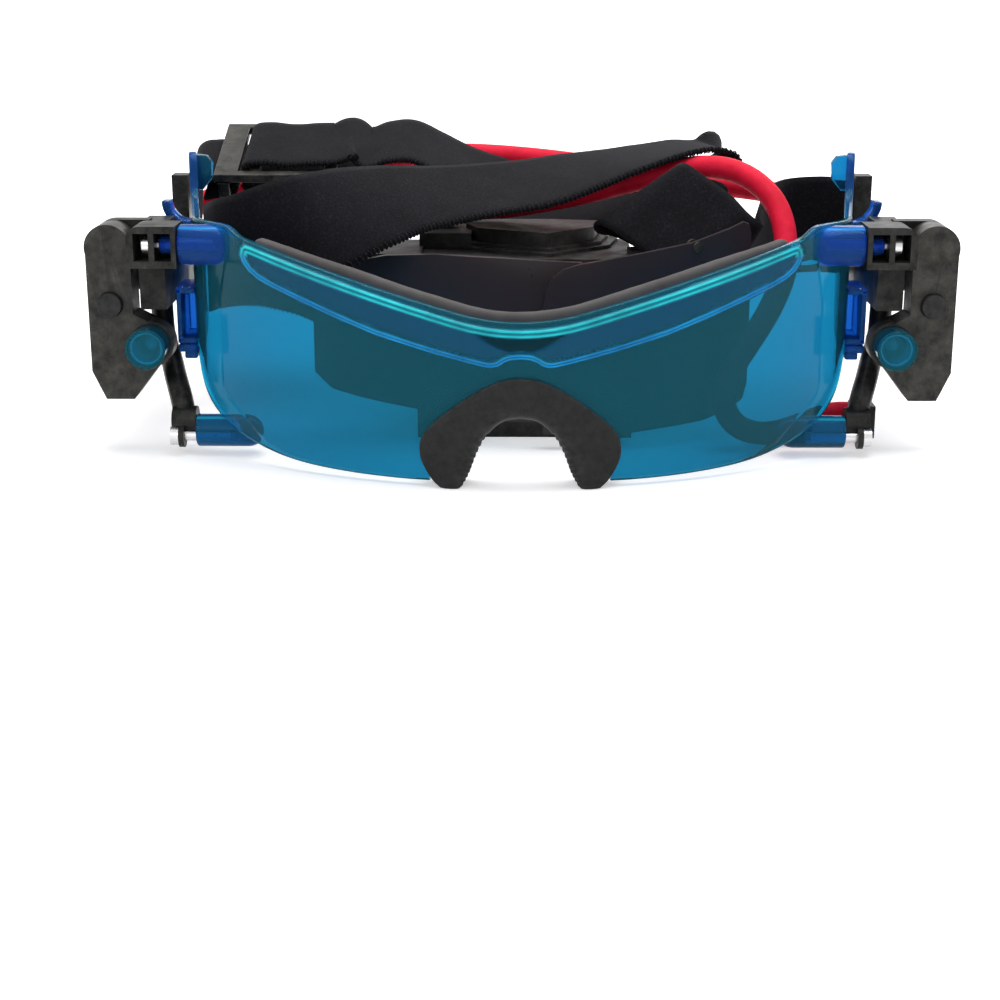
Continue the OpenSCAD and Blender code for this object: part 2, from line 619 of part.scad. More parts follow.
// A side frame, modelled on the right
module side_frame() {
    frame_in = barrel_tip + seat;
    lug_low = top_barrel_z - lug_size / 2;
    ear_x = plate_x + 3;
    pocket_low = top_barrel_z - 3.1;
    pocket_high = top_barrel_z + 3.1;
    pocket_back = barrel_y + 2.4;
    slot_half = strap_thick / 2 + strap_gap;
    slot_reach = strap_width / 2 + strap_gap;
    difference() {
        union() {
            slab_y(barrel_y - 5, barrel_y + 5) lug_outline(frame_in, lug_tip, lug_low, lug_low + lug_size);
            block([plate_x - 1.2, barrel_y + 4.5, 33], [plate_x + 4.8, ear_y + 10, lug_low + lug_size - 1]);
            block([plate_x, ear_y + 8, 33], [plate_x + plate_thick, wing_end_y + 2, 46]);
            block([plate_x, wing_end_y + 1.5, strap_mid_z - strap_width / 2 - 1.4],
                [plate_x + plate_thick, plate_end, strap_mid_z + strap_width / 2 + 1.4]);
            block([ear_x, ear_y, pivot_z - knuckle_radius],
                [pivot_x, ear_y + ear_thick, pivot_z + knuckle_radius]);
            bar_y(ear_y, ear_y + ear_thick, pivot_x, pivot_z, knuckle_radius);
            bar_y(gland_y - 12, gland_y - 5, gland_x, gland_z, 4.4);
            block([plate_x + plate_thick - 1, gland_y - 12, gland_z - 4],
                [gland_x, gland_y - 5, gland_z + 4]);
            bar_x(low_barrel_tip + seat, low_barrel_tip + 5.7, barrel_y + 1.2, low_barrel_z + 2, 3.4);
            bar_x(low_web_x, low_web_x + web_thick, low_screw_y, low_screw_z, head_radius + 0.4);
            curved_arm();
        }
        block([web_x + web_thick, barrel_y - 6, pocket_low], [lug_tip - 1.6, pocket_back, pocket_high]);
        block([barrel_tip + 1.2, barrel_y - 6, pocket_low], [web_x, pocket_back, pocket_high]);
        bar_x(frame_in - 1, web_x - 0.5, top_screw_y, top_barrel_z, screw_radius + 1);
        bar_x(web_x - 1, web_x + web_thick + 1, top_screw_y, top_barrel_z, screw_radius + 0.15);
        bar_x(low_barrel_tip - 1, low_web_x + 3, low_screw_y, low_screw_z, screw_radius + 0.15);
        bar_x(low_web_x + web_thick, low_barrel_tip + 7, low_screw_y, low_screw_z, head_radius + 0.1);
        bar_y(ear_y - 1, ear_y + ear_thick + 1, pivot_x, pivot_z, pin_radius + 0.02);
        block([plate_mid - slot_half, plate_end - slot_depth, strap_mid_z - slot_reach],
            [plate_mid + slot_half, plate_end + 1, strap_mid_z + slot_reach]);
    }
}
// Arm that curves from the lower lug, behind the lamp, up to the plate
module curved_arm() {
    foot = [low_barrel_tip + 3, barrel_y + 1.5, low_barrel_z + 2.4];
    head = [plate_x + 2, ear_y + 5, 36];
    round_tube([foot, foot + [1.1, 2, 4.5], foot + [3, 6.8, 8], foot + [5, 12.6, 11.6],
        head - [0.4, 0.5, 11], head - [0, 0, 5], head], arm_radius, 12, 3);
}
module side_frame_left() color([0.07, 0.07, 0.07]) in_place() on_side("left") side_frame();
module side_frame_right() color([0.07, 0.07, 0.07]) in_place() {
    side_frame();
    difference() {
        block([low_gland[0] + 1.5, barrel_y + 3, 3.2], [low_gland[0] + 4.5, low_gland[1] + 4, 10.8]);
        bar_x(low_gland[0] - 1, low_gland[0] + 2.2, low_gland[1], low_gland[2], 0.8);
    }
}

// Glossy band: two overlapped curved plates. Each outline lies in X and Z.
left_plate = [[14, band_clear], [-10, band_clear + 0.6], [-21, band_clear + 2], [-38, band_clear + 3.6],
    [-45.5, band_clear + 4.6], [-50, band_clear + 8], [-50, band_height - 13], [-46, band_height - 6],
    [-40, band_height - 2], [-31.5, band_height + 0.2], [-20, band_height + 1.2], [-4, band_height + 0.8],
    [14, band_height - 0.2]];
right_plate = [[5.2, band_clear - 2], [21, band_clear - 2.6], [43, band_clear - 0.7], [50, band_clear + 1.3],
    [53, band_clear + 3.4], [54, band_clear + 7], [54, band_height + 5], [53.4, band_height + 7],
    [52, band_height + 7.6], [48.5, band_height + 6.3], [39.6, band_height + 3.7], [27.2, band_height + 1.8],
    [13.5, band_height - 0.3], [9.6, band_height - 1.4], [7.2, band_height - 3.4], [5.7, band_height - 6.2],
    [5.2, band_height - 10]];
module curved_plate(radius, outline) {
    tall = band_height + 12;
    intersection() {
        translate([band_centre[0], band_centre[1], 0]) difference() {
            cylinder(r = radius, h = tall, $fn = 180);
            translate([0, 0, -1]) cylinder(r = radius - band_thick, h = tall + 2, $fn = 180);
        }
        slab_y(0, 80) polygon(outline);
    }
}
// A place on the front of a band plate at a given x, and a rivet square to it
rivet_radius = 0.8;
rivets = [[9.6, band_clear + 4.5, 1], [9.6, band_clear + 10, 1], [40.8, band_height + 2.6, 0]];
module at_rivet(spot, radius) {
    turn = asin((spot[0] - band_centre[0]) / radius);
    translate([band_centre[0], band_centre[1], spot[1]]) rotate([0, 0, turn]) translate([0, -radius, 0])
        rotate([-90, 0, 0]) children();
}
front_radius = band_radius + band_gap + band_thick;
module forehead_band_left() color([0.03, 0.03, 0.035]) in_place() difference() {
    curved_plate(band_radius, left_plate);
    for (spot = rivets) if (spot[2] == 1)
        at_rivet(spot, front_radius) translate([0, 0, -1]) cylinder(r = rivet_radius + running, h = 8);
}
module forehead_band_right() color([0.03, 0.03, 0.035]) in_place() difference() {
    curved_plate(front_radius, right_plate);
    for (spot = rivets)
        at_rivet(spot, front_radius) translate([0, 0, -1]) cylinder(r = rivet_radius + running, h = 8);
}
module band_rivets() color([0.8, 0.8, 0.82]) in_place() for (spot = rivets)
    at_rivet(spot, front_radius) {
        reach = spot[2] == 1 ? 2 * band_thick + band_gap : band_thick;
        translate([0, 0, -0.7 - running]) cylinder(r = rivet_radius + 0.5, h = 0.7);
        translate([0, 0, -0.5]) cylinder(r = rivet_radius, h = reach + 0.9);
        translate([0, 0, reach + 0.25]) cylinder(r = rivet_radius + 0.8, h = 0.7);
    }

// Battery pack behind the band
bosses = [[-14, band_radius - band_thick], [22, band_radius + band_gap]];
cell_wide = 2 * cell_radius + cell_fit;
cell_room = [pack_length - 2 * pack_wall, cell_wide, cell_pitch + cell_wide + cell_fit];
cell_low = cell_z - cell_radius - cell_fit;
ledge_reach = 11.4;
hex_block = [[6.4, 52], [17.5, 63], [19.5, 74], [8, pack_back - 0.6], [-9, pack_back - 0.6], [-13.5, 69],
    [-10.5, 61]];
module hex_plate(spread, from_z, to_z) {
    middle = [4, 66];
    translate([0, 0, from_z]) linear_extrude(to_z - from_z)
        polygon([for (p = hex_block) let (q = middle + (p - middle) * spread) [q[0], min(q[1], pack_back)]]);
}
module strap_lug() {
    high = strap_width / 2;
    translate([0, strap_y, strap_low_z]) difference() {
        block([0, -3, -high - 1.6], [lug_reach, 3, high + 1.6]);
        block([1.5, -strap_thick / 2 - strap_gap, -high - strap_gap],
            [lug_reach + 1, strap_thick / 2 + strap_gap, high + strap_gap]);
    }
}
module pack_case() color([0.05, 0.05, 0.055]) in_place() {
    difference() {
        union() {
            block([pack_left, pack_front, 0], [pack_right, pack_back, pack_height]);
            hex_plate(1.3, pack_height - 0.5, pack_height + 0.8);
            hex_plate(1.14, pack_height, pack_height + 1.6);
            hex_plate(1, pack_height, pack_height + block_height);
            block([pack_left, pack_gland[1] - 4.4, pack_height - 1],
                [pack_gland[0] - 2.5, pack_gland[1] + 4.4, pack_gland[2] + 4.2]);
            block([pack_left, pack_gland[1] - 12, pack_height - 1],
                [pack_gland[0] + 3, pack_gland[1] + 4.4, pack_height + 3.8]);
            block([pack_left - ledge_reach, pack_front + 2.6, pack_height - 1],
                [pack_left + 1, pack_front + 25.5, pack_height + 0.8]);
            block([pack_right - 1, pack_front + 7, pack_height - 1],
                [pack_right + 6.2, pack_front + 14.5, pack_height + 0.8]);
            for (boss = bosses) intersection() {
                bar_y(pack_front - 12, pack_front + 1, boss[0], 20, 3);
                translate([band_centre[0], band_centre[1], 10])
                    cylinder(r = boss[1] - seat, h = 20, $fn = 180);
            }
        }
        block([pack_left + pack_wall, pack_front + pack_wall, pack_wall],
            [pack_right - pack_wall, cell_y - cell_radius - cell_fit + 0.1, pack_height - pack_wall]);
        translate([pack_left + pack_wall, cell_y - cell_radius - cell_fit, cell_low])
            cube(cell_room + [0, 1, 0]);
        bar_y(pack_back - 8, pack_back + 1, pack_mid, 36.5, screw_radius + running);
    }
    translate([pack_right, 0, 0]) strap_lug();
    translate([pack_left, 0, 0]) mirror([1, 0, 0]) strap_lug();
}
module pack_cover() color([0.06, 0.06, 0.065]) in_place() difference() {
    block([pack_left + 1.5, pack_back + seat, 2], [pack_right - 1.5, pack_back + seat + pack_wall, 41]);
    bar_y(pack_back - 1, pack_back + 6, pack_mid, 36.5, screw_radius + 0.15);
    bar_y(pack_back + 0.9, pack_back + 6, pack_mid, 36.5, head_radius + 0.1);
    for (x = [-14 : 5.2 : 23])
        block([x, pack_back + pack_wall - 0.5, 6], [x + 2, pack_back + pack_wall + 1, 30]);
}
module pack_screw() color([0.8, 0.8, 0.82]) in_place() difference() {
    union() {
        bar_y(pack_back + 0.95, pack_back + seat + pack_wall, pack_mid, 36.5, head_radius);
        bar_y(pack_back - 6, pack_back + 1, pack_mid, 36.5, screw_radius);
    }
    block([pack_mid - 1.5, pack_back + 1.4, 36.2], [pack_mid + 1.5, pack_back + 4, 36.8]);
    block([pack_mid - 0.3, pack_back + 1.4, 35], [pack_mid + 0.3, pack_back + 4, 38]);
}
module cell(direction) {
    body = cell_length - 1;
    start = pack_mid - cell_length / 2 + (direction > 0 ? 0.2 : 1.2);
    nub = direction > 0 ? start + body : start - 1;
    bar_x(start, start + body, 0, 0, cell_radius);
    bar_x(nub, nub + 1, 0, 0, 1.8);
}
module cells() color([0.75, 0.6, 0.2]) in_place() for (i = [0 : 1])
    translate([0, cell_y, cell_z + i * cell_pitch]) cell(i == 0 ? 1 : -1);
module cell_contacts() color([0.8, 0.8, 0.75]) in_place() {
    low_x = pack_left + pack_wall;
    high_x = pack_right - pack_wall;
    for (i = [0 : 1]) {
        z = cell_z + i * cell_pitch;
        block([low_x + 0.05, cell_y - 4, z - 4], [low_x + 0.55, cell_y + 4, z + 4]);
        block([high_x - 0.55, cell_y - 4, z - 4], [high_x - 0.05, cell_y + 4, z + 4]);
        bar_x(low_x + 0.5, low_x + 1.3, cell_y, z, 2.6);
        bar_x(high_x - 1.3, high_x - 0.5, cell_y, z, 2.6);
    }
}
module pack_board() color([0.1, 0.4, 0.2]) in_place() {
    front = pack_front + pack_wall;
    block([pack_mid - 16, front + 3, 5], [pack_mid + 16, front + 4.6, 38]);
    for (x = [-12, 12], z = [9, 34]) bar_y(front + 0.1, front + 3.2, pack_mid + x, z, 1.6);
    block([pack_mid - 6, front + 4.5, 16], [pack_mid + 4, front + 7, 26]);
}

// Strap and slider
module strap_long() color([0.04, 0.04, 0.045]) in_place() webbing(strap_long_route, 3);
module strap_short() color([0.04, 0.04, 0.045]) in_place() webbing(strap_short_route, 2);
module strap_right() color([0.04, 0.04, 0.045]) in_place() webbing(strap_right_route, 3, fanned = true);
module slider_buckle() color([0.08, 0.08, 0.075]) in_place()
    translate(slider_at) rotate([slider_tilt, 0, 0]) {
        reach = slider_wide / 2;
        inner = strap_width / 2 + 0.5;
        difference() {
            union() {
                block([slider_left, -reach, -slider_thick / 2], [slider_right, reach, slider_thick / 2]);
                for (side = [-1, 1]) {
                    middle = side * (reach + inner) / 2;
                    block([bridge_bar[0], middle - 1.2, bridge_up[0]], [bridge_bar[1], middle + 1.2, 0]);
                }
                block([bridge_bar[0], -inner - 1, bridge_up[0]], [bridge_bar[1], inner + 1, bridge_up[1]]);
            }
            block([slider_left + slider_plate, -inner, -slider_thick], [loop_bar[0], inner, slider_thick]);
            block([loop_bar[1], -inner, -slider_thick], [slider_right - slider_bar, inner, slider_thick]);
        }
    }

// Soft strain reliefs at each end of the cord
module gland(length) {
    cylinder(r1 = 4.2, r2 = cord_size / 2 + 0.7, h = length);
}
module cord_glands() color([0.06, 0.06, 0.06]) in_place() {
    both_sides() translate([gland_x, gland_y - 5, gland_z]) rotate([-90, 0, 0]) gland(5);
    translate(pack_gland - [2.5, 0, 0]) rotate([0, 90, 0]) gland(2.5);
    translate(low_gland + [1.5, 0, 0]) rotate([0, -90, 0]) gland(1.5);
}
module pack_lead() color([0.85, 0.05, 0.12]) in_place() round_tube(pack_lead_route, cord_size / 2, 10, 2);
module link_lead() color([0.85, 0.05, 0.12]) in_place() round_tube(link_lead_route, cord_size / 2, 10, 1);

// Hinge pin of a lamp
module hinge_pin() {
    bar_y(pod_front + 2, ear_y + ear_thick, pivot_x, pivot_z, pin_radius);
    bar_y(ear_y + ear_thick, ear_y + ear_thick + 1.1, pivot_x, pivot_z, pin_radius + 1);
}
module hinge_pin_left() color([0.7, 0.7, 0.72]) in_place() on_side("left") hinge_pin();
module hinge_pin_right() color([0.7, 0.7, 0.72]) in_place() on_side("right") hinge_pin();

// Outline of a pod, drawn smaller by an inset
module pod_outline(inset) {
    translate([pivot_x, pivot_z]) circle(knuckle_radius - inset);
    outer = pod_out - 0.2 - inset;
    inner = pivot_x - knuckle_radius + 0.2 + inset;
    polygon([[outer, pivot_z], [outer, 19], [outer - 3 + inset * 0.4, 12.4 + inset],
        [lamp_x + 4.2 + inset * 0.6, 12.4 + inset], [lamp_x - 2.9 + inset, 21.6 + inset * 0.4],
        [lamp_x - 2.9 + inset, 29 - inset], [inner, 32.4], [inner, pivot_z]]);
}
screw_spots = [[pod_out - 3.5, 18.4], [pod_out - 3.5, 39.8]];
module lamp_shell() {
    split = pod_back - cover_thick;
    difference() {
        union() {
            difference() {
                slab_y(pod_front, split) pod_outline(0);
                slab_y(pod_front + pod_wall, split + 1) difference() {
                    pod_outline(pod_wall);
                    translate([pivot_x, pivot_z]) circle(knuckle_radius);
                }
            }
            for (spot = screw_spots) bar_y(pod_front + 0.5, split, spot[0], spot[1], 2.1);
            bar_y(pod_front + 0.5, board_y - seat, lamp_x, lamp_z, lamp_hole + lamp_ring);
        }
        bar_y(pod_front - 1, pod_back, lamp_x, lamp_z, lamp_hole);
        bar_y(pod_front - 1, pod_front + pod_wall + 1, pivot_x, button_z, button_radius + 0.12);
        bar_y(pod_front + 1.9, pod_back, pivot_x, pivot_z, pin_radius + running);
        for (spot = screw_spots) bar_y(pod_front + 2, pod_back, spot[0], spot[1], 0.85);
    }
}
module lamp_cover() {
    difference() {
        slab_y(pod_back - cover_thick + 0.05, pod_back) pod_outline(0);
        bar_y(pod_front, pod_back + 1, pivot_x, pivot_z, pin_radius + running);
        for (spot = screw_spots) {
            bar_y(pod_front, pod_back + 1, spot[0], spot[1], 0.95);
            bar_y(pod_back - 0.7, pod_back + 1, spot[0], spot[1], 1.6);
        }
    }
}
module lamp_lens() difference() {
    bar_y(lamp_front, board_y - 0.3, lamp_x, lamp_z, lamp_radius);
    bar_y(lamp_front + 1.2, board_y + 1, lamp_x, lamp_z, lamp_radius - lamp_wall);
}
reflector_back = board_y - 1.6;
module reflector() {
    wide = lamp_radius - lamp_wall - 0.1;
    difference() {
        bar_y(lamp_front + 2, reflector_back, lamp_x, lamp_z, wide);
        translate([lamp_x, lamp_front + 1.9, lamp_z]) rotate([-90, 0, 0])
            cylinder(r1 = wide - 0.4, r2 = 1.8, h = reflector_back - lamp_front - 1.8);
    }
}
module led() {
    bar_y(reflector_back - 2.4, board_y - 0.05, lamp_x, lamp_z, 1.5);
    translate([lamp_x, reflector_back - 2.4, lamp_z]) sphere(r = 1.5);
    bar_y(board_y - 0.9, board_y - 0.05, lamp_x, lamp_z, 1.8);
}
module lamp_board() {
    slab_y(board_y, board_y + board_thick) {
        translate([lamp_x, lamp_z]) circle(lamp_radius - 0.4);
        polygon([[lamp_x, lamp_z - 2], [pivot_x + 2, lamp_z - 2], [pivot_x + 2, button_z + 2.6],
            [pivot_x - 3, button_z + 2.6], [pivot_x - 3, lamp_z + 4.2], [lamp_x, lamp_z + 4.2]]);
    }
    block([pivot_x - 1.8, board_y - 1.1, button_z - 1.6], [pivot_x + 1.8, board_y + 0.2, button_z + 1.6]);
}
module lamp_screws() for (spot = screw_spots) {
    bar_y(pod_back - 0.65, pod_back, spot[0], spot[1], 1.5);
    bar_y(pod_back - 4, pod_back - 0.6, spot[0], spot[1], 0.8);
}
module lamp_button() {
    flange_y = pod_front + pod_wall + 0.1;
    bar_y(pod_front - button_travel - 0.4, flange_y + 0.2, pivot_x, button_z, button_radius);
    bar_y(flange_y, flange_y + button_flange, pivot_x, button_z, button_radius + 0.5);
    bar_y(flange_y, board_y - 1.2 - button_travel, pivot_x, button_z, 1.2);
}
module lamp_shell_left() color([0.06, 0.065, 0.05]) in_place() on_side("left") lamp_shell();
module lamp_cover_left() color([0.05, 0.05, 0.05]) in_place() on_side("left") lamp_cover();
module lamp_lens_left() color([0.05, 0.3, 0.55, 0.7]) in_place() on_side("left") lamp_lens();
module reflector_left() color([0.85, 0.85, 0.87]) in_place() on_side("left") reflector();
module led_left() color([0.95, 0.95, 0.85]) in_place() on_side("left") led();
module lamp_board_left() color([0.1, 0.4, 0.2]) in_place() on_side("left") lamp_board();
module lamp_screws_left() color([0.7, 0.7, 0.72]) in_place() on_side("left") lamp_screws();
module lamp_button_left() color([0.12, 0.12, 0.12]) in_place() on_side("left") lamp_button();
module lamp_shell_right() color([0.06, 0.065, 0.05]) in_place() on_side("right") lamp_shell();
module lamp_cover_right() color([0.05, 0.05, 0.05]) in_place() on_side("right") lamp_cover();
module lamp_lens_right() color([0.05, 0.3, 0.55, 0.7]) in_place() on_side("right") lamp_lens();
module reflector_right() color([0.85, 0.85, 0.87]) in_place() on_side("right") reflector();
module led_right() color([0.95, 0.95, 0.85]) in_place() on_side("right") led();
module lamp_board_right() color([0.1, 0.4, 0.2]) in_place() on_side("right") lamp_board();
module lamp_screws_right() color([0.7, 0.7, 0.72]) in_place() on_side("right") lamp_screws();
module lamp_button_right() color([0.12, 0.12, 0.12]) in_place() on_side("right") lamp_button();

shield();
brow_pad();
nose_piece();
shield_screws();
side_frame_left();
side_frame_right();
forehead_band_left();
forehead_band_right();
band_rivets();
pack_case();
pack_cover();
pack_screw();
cells();
cell_contacts();
pack_board();
strap_long();
strap_short();
strap_right();
slider_buckle();
cord_glands();
pack_lead();
link_lead();
hinge_pin_left();
hinge_pin_right();
lamp_shell_left();
lamp_cover_left();
lamp_lens_left();
reflector_left();
led_left();
lamp_board_left();
lamp_screws_left();
lamp_button_left();
lamp_shell_right();
lamp_cover_right();
lamp_lens_right();
reflector_right();
led_right();
lamp_board_right();
lamp_screws_right();
lamp_button_right();
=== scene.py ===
"""Light-up goggles with side lamps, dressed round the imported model: looks only, in metres."""
import bpy
import bmesh
import json
import math
import numpy as np
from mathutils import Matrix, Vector


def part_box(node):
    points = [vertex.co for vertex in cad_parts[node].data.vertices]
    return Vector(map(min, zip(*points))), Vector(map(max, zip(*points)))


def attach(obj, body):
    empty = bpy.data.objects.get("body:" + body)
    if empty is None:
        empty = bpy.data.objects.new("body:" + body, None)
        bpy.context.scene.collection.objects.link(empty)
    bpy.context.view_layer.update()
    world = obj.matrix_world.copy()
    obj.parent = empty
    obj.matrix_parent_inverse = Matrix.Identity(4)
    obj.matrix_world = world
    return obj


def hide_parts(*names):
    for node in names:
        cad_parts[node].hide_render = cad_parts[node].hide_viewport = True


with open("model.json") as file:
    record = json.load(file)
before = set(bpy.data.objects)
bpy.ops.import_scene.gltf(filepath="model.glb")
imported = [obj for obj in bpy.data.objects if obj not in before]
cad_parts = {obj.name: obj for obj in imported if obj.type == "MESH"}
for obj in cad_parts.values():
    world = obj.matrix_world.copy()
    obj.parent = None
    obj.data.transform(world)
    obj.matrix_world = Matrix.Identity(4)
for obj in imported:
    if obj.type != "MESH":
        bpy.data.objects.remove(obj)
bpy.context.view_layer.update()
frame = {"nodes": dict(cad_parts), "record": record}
nodes = frame["nodes"]

MM = 0.001
# The shield's brow band stands this far in front of the plan curve, which gives the frame's shift in Y
BAND_RISE = 1.4
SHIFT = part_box("shield")[0][1] / MM + BAND_RISE


def place(points):
    """Points of the design, in millimetres, as metres in the row frame."""
    return (np.asarray(points, float) + np.array([0.0, SHIFT, 0.0])) * MM


# Camera, fitted to the photograph: a point 400 mm away, looking 16.6 degrees down and a little to the left
CAMERA_AT = (0.0, -384.505, 112.255)
CAMERA_DOWN = 16.6228
CAMERA_LEFT = 0.6539
LENS = 66.24


def make_camera():
    camera = bpy.data.objects.new("camera", bpy.data.cameras.new("camera"))
    camera.data.lens = LENS
    camera.data.sensor_width = 36.0
    camera.location = place(CAMERA_AT)
    camera.rotation_euler = (math.radians(90 - CAMERA_DOWN), 0, math.radians(CAMERA_LEFT))
    bpy.context.scene.collection.objects.link(camera)
    bpy.context.scene.camera = camera


make_camera()

# Routes of the two leads, in millimetres, as the part lays them
CORD_SIZE = 5.5
PACK_GLAND = (-15, 72, 51.2)
LOW_GLAND = (78.007, 41.003, 7)
GLAND_X = 91.2586
GLAND_Y = 68
GLAND_Z = 38
PACK_LEAD = [
    PACK_GLAND, (-11, 72, 51.2), (-7, 72, 51.2), (0, 71, 52.2), (8, 69.5, 53.8), (16, 68.5, 55.6),
    (24, 68.5, 57.6), (32, 69, 59.3), (40, 69.4, 61.4), (48, 67.4, 62), (55, 63.4, 60), (60.4, 57.6, 55.2),
    (62.6, 52, 48.4), (62, 46.5, 40.5), (58.2, 41.4, 32.4), (53.2, 37.2, 25.2), (48.8, 34.2, 19.2),
    (46.6, 33, 12.8), (48.6, 33.4, 7.2), (53.4, 35.6, 3.8), (59.8, 38, 3), (66.6, 40.2, 4.8),
    (LOW_GLAND[0] - 5.4, *LOW_GLAND[1:]), (LOW_GLAND[0] - 2.7, *LOW_GLAND[1:]), LOW_GLAND]
LINK_LEAD = [
    (-GLAND_X, GLAND_Y, GLAND_Z), (-GLAND_X, 72, GLAND_Z), (-GLAND_X, 77, GLAND_Z),
    (-91.5, 88, 39.4), (-91, 98, 42.5), (-87.5, 108, 46.5),
    (-78, 114, 50.5), (-64, 115, 53.5), (-52, 114.5, 56), (-40, 114, 58), (-28, 113, 59.6),
    (-16, 112, 60.4), (-4, 110.5, 60), (8, 107.5, 59.2), (20, 106, 57.8), (33, 105.5, 55.8),
    (46, 104.5, 53.8), (59, 102.5, 52.4), (71, 99.5, 50.8), (81.5, 96, 47.6), (88.5, 88, 42.4),
    (GLAND_X, 77, GLAND_Z), (GLAND_X, 72, GLAND_Z), (GLAND_X, GLAND_Y, GLAND_Z)]


def smooth(points, steps):
    """A Catmull-Rom curve through every point, as the part sweeps its own tubes and webbing."""
    p = np.asarray(points, float)
    last = len(p) - 1
    out = []
    for i in range(last):
        a, b, c, d = p[max(i - 1, 0)], p[i], p[i + 1], p[min(i + 2, last)]
        for k in range(steps):
            t = k / steps
            out.append(0.5 * (2 * b + (c - a) * t + (2 * a - 5 * b + 4 * c - d) * t ** 2
                              + (3 * b - a - 3 * c + d) * t ** 3))
    out.append(p[last])
    return np.array(out)


def unit_rows(v):
    return v / np.linalg.norm(v, axis=1)[:, None]


def run_along(points):
    """Distance of each point along the line through them all."""
    return np.concatenate([[0], np.cumsum(np.linalg.norm(np.diff(points, axis=0), axis=1))])


def relaxed(path, spacing=0.8, rounds=24, held=4):
    """A path with even steps and its tightest turns opened a little. Its ends keep place and direction."""
    run = run_along(path)
    places = np.linspace(0, run[-1], int(run[-1] / spacing))
    even = np.stack([np.interp(places, run, path[:, k]) for k in range(3)], axis=1)
    last = len(even) - held
    for _ in range(rounds):
        neighbours = even[held - 1:last - 1] + even[held + 1:last + 1]
        even[held:last] += 0.25 * (neighbours - 2 * even[held:last])
    return even


# Shader helpers


def new_material(name):
    material = bpy.data.materials.new(name)
    material.use_nodes = True
    tree = material.node_tree
    tree.nodes.clear()
    output = add(tree, "OutputMaterial")
    return material, tree, output


def add(tree, kind, **values):
    """A new node with its properties and sockets set. A socket is named with spaces as underscores."""
    node = tree.nodes.new("ShaderNode" + kind)
    for key, value in values.items():
        if hasattr(node, key) and key not in node.inputs:
            setattr(node, key, value)
        else:
            node.inputs[key.replace("_", " ")].default_value = value
    return node


def link(tree, source, target):
    tree.links.new(source, target)


def coordinates(tree):
    return add(tree, "TexCoord").outputs["Object"]


def noise(tree, scale, detail=3.0, roughness=0.55, vector=None):
    node = add(tree, "TexNoise", Scale=scale, Detail=detail, Roughness=roughness)
    link(tree, vector or coordinates(tree), node.inputs["Vector"])
    return node.outputs["Fac"]


def ramp(tree, source, stops):
    """Colours or greys at places along source, as (place, colour) pairs."""
    node = add(tree, "ValToRGB")
    elements = node.color_ramp.elements
    while len(elements) < len(stops):
        elements.new(0.5)
    for element, (place_at, colour) in zip(elements, stops):
        element.position = place_at
        grey = isinstance(colour, (int, float))
        element.color = (colour, colour, colour, 1) if grey else (*colour, 1)
    link(tree, source, node.inputs["Fac"])
    return node.outputs["Color"]


def mix(tree, fac, a, b, blend="MIX"):
    """Mixes two colours. Each is a socket or a colour."""
    node = add(tree, "Mix", data_type="RGBA", blend_type=blend)
    for socket, value in ((node.inputs["Factor"], fac), (node.inputs["A"], a), (node.inputs["B"], b)):
        if isinstance(value, bpy.types.NodeSocket):
            link(tree, value, socket)
        elif isinstance(value, (int, float)):
            socket.default_value = value
        else:
            socket.default_value = (*value, 1)
    return node.outputs["Result"]


def math_node(tree, operation, a, b=0.0):
    node = add(tree, "Math", operation=operation)
    for socket, value in zip(node.inputs, (a, b)):
        if isinstance(value, bpy.types.NodeSocket):
            link(tree, value, socket)
        else:
            socket.default_value = value
    return node.outputs[0]


def bump(tree, height, strength, distance):
    node = add(tree, "Bump", Strength=strength, Distance=distance)
    link(tree, height, node.inputs["Height"])
    return node.outputs["Normal"]


def blend_shaders(tree, fac, first, second):
    node = add(tree, "MixShader")
    for source, socket in zip((fac, first.outputs[0], second.outputs[0]), node.inputs):
        link(tree, source, socket)
    return node.outputs[0]


def seen_rays(tree):
    """1 for the rays that see the floor and the world as white: camera, glossy and transmission."""
    rays = add(tree, "LightPath").outputs
    indirect = math_node(tree, "MAXIMUM", rays["Is Glossy Ray"], rays["Is Transmission Ray"])
    return math_node(tree, "MAXIMUM", rays["Is Camera Ray"], indirect)


def surface(name, base, roughness, metallic=0.0, grain=None, colour=None, rough_source=None, **sockets):
    """A Principled material. grain is (scale, strength, distance) of a fine noise bump."""
    material, tree, output = new_material(name)
    shader = add(tree, "BsdfPrincipled", Base_Color=(*base, 1), Roughness=roughness, Metallic=metallic)
    for key, value in sockets.items():
        shader.inputs[key.replace("_", " ")].default_value = value
    if grain is not None:
        scale, strength, distance = grain
        link(tree, bump(tree, noise(tree, scale, 4), strength, distance), shader.inputs["Normal"])
    if colour is not None:
        link(tree, colour(tree), shader.inputs["Base Color"])
    if rough_source is not None:
        link(tree, rough_source(tree), shader.inputs["Roughness"])
    link(tree, shader.outputs[0], output.inputs["Surface"])
    return material


def worn(base, light, dusty, scale=260):
    """Colour that pales on worn edges and carries a faint uneven dust."""
    def build(tree):
        geometry = add(tree, "NewGeometry")
        edge = ramp(tree, geometry.outputs["Pointiness"], [(0.5, 0.0), (0.56, 1.0)])
        patches = ramp(tree, noise(tree, scale, 5, 0.7), [(0.35, 0.0), (0.75, 1.0)])
        dust = mix(tree, patches, base, dusty)
        wear = math_node(tree, "MULTIPLY", edge, patches)
        return mix(tree, wear, dust, light)
    return build


def uneven_roughness(low, high, scale=180):
    def build(tree):
        return ramp(tree, noise(tree, scale, 4, 0.6), [(0.3, low), (0.7, high)])
    return build


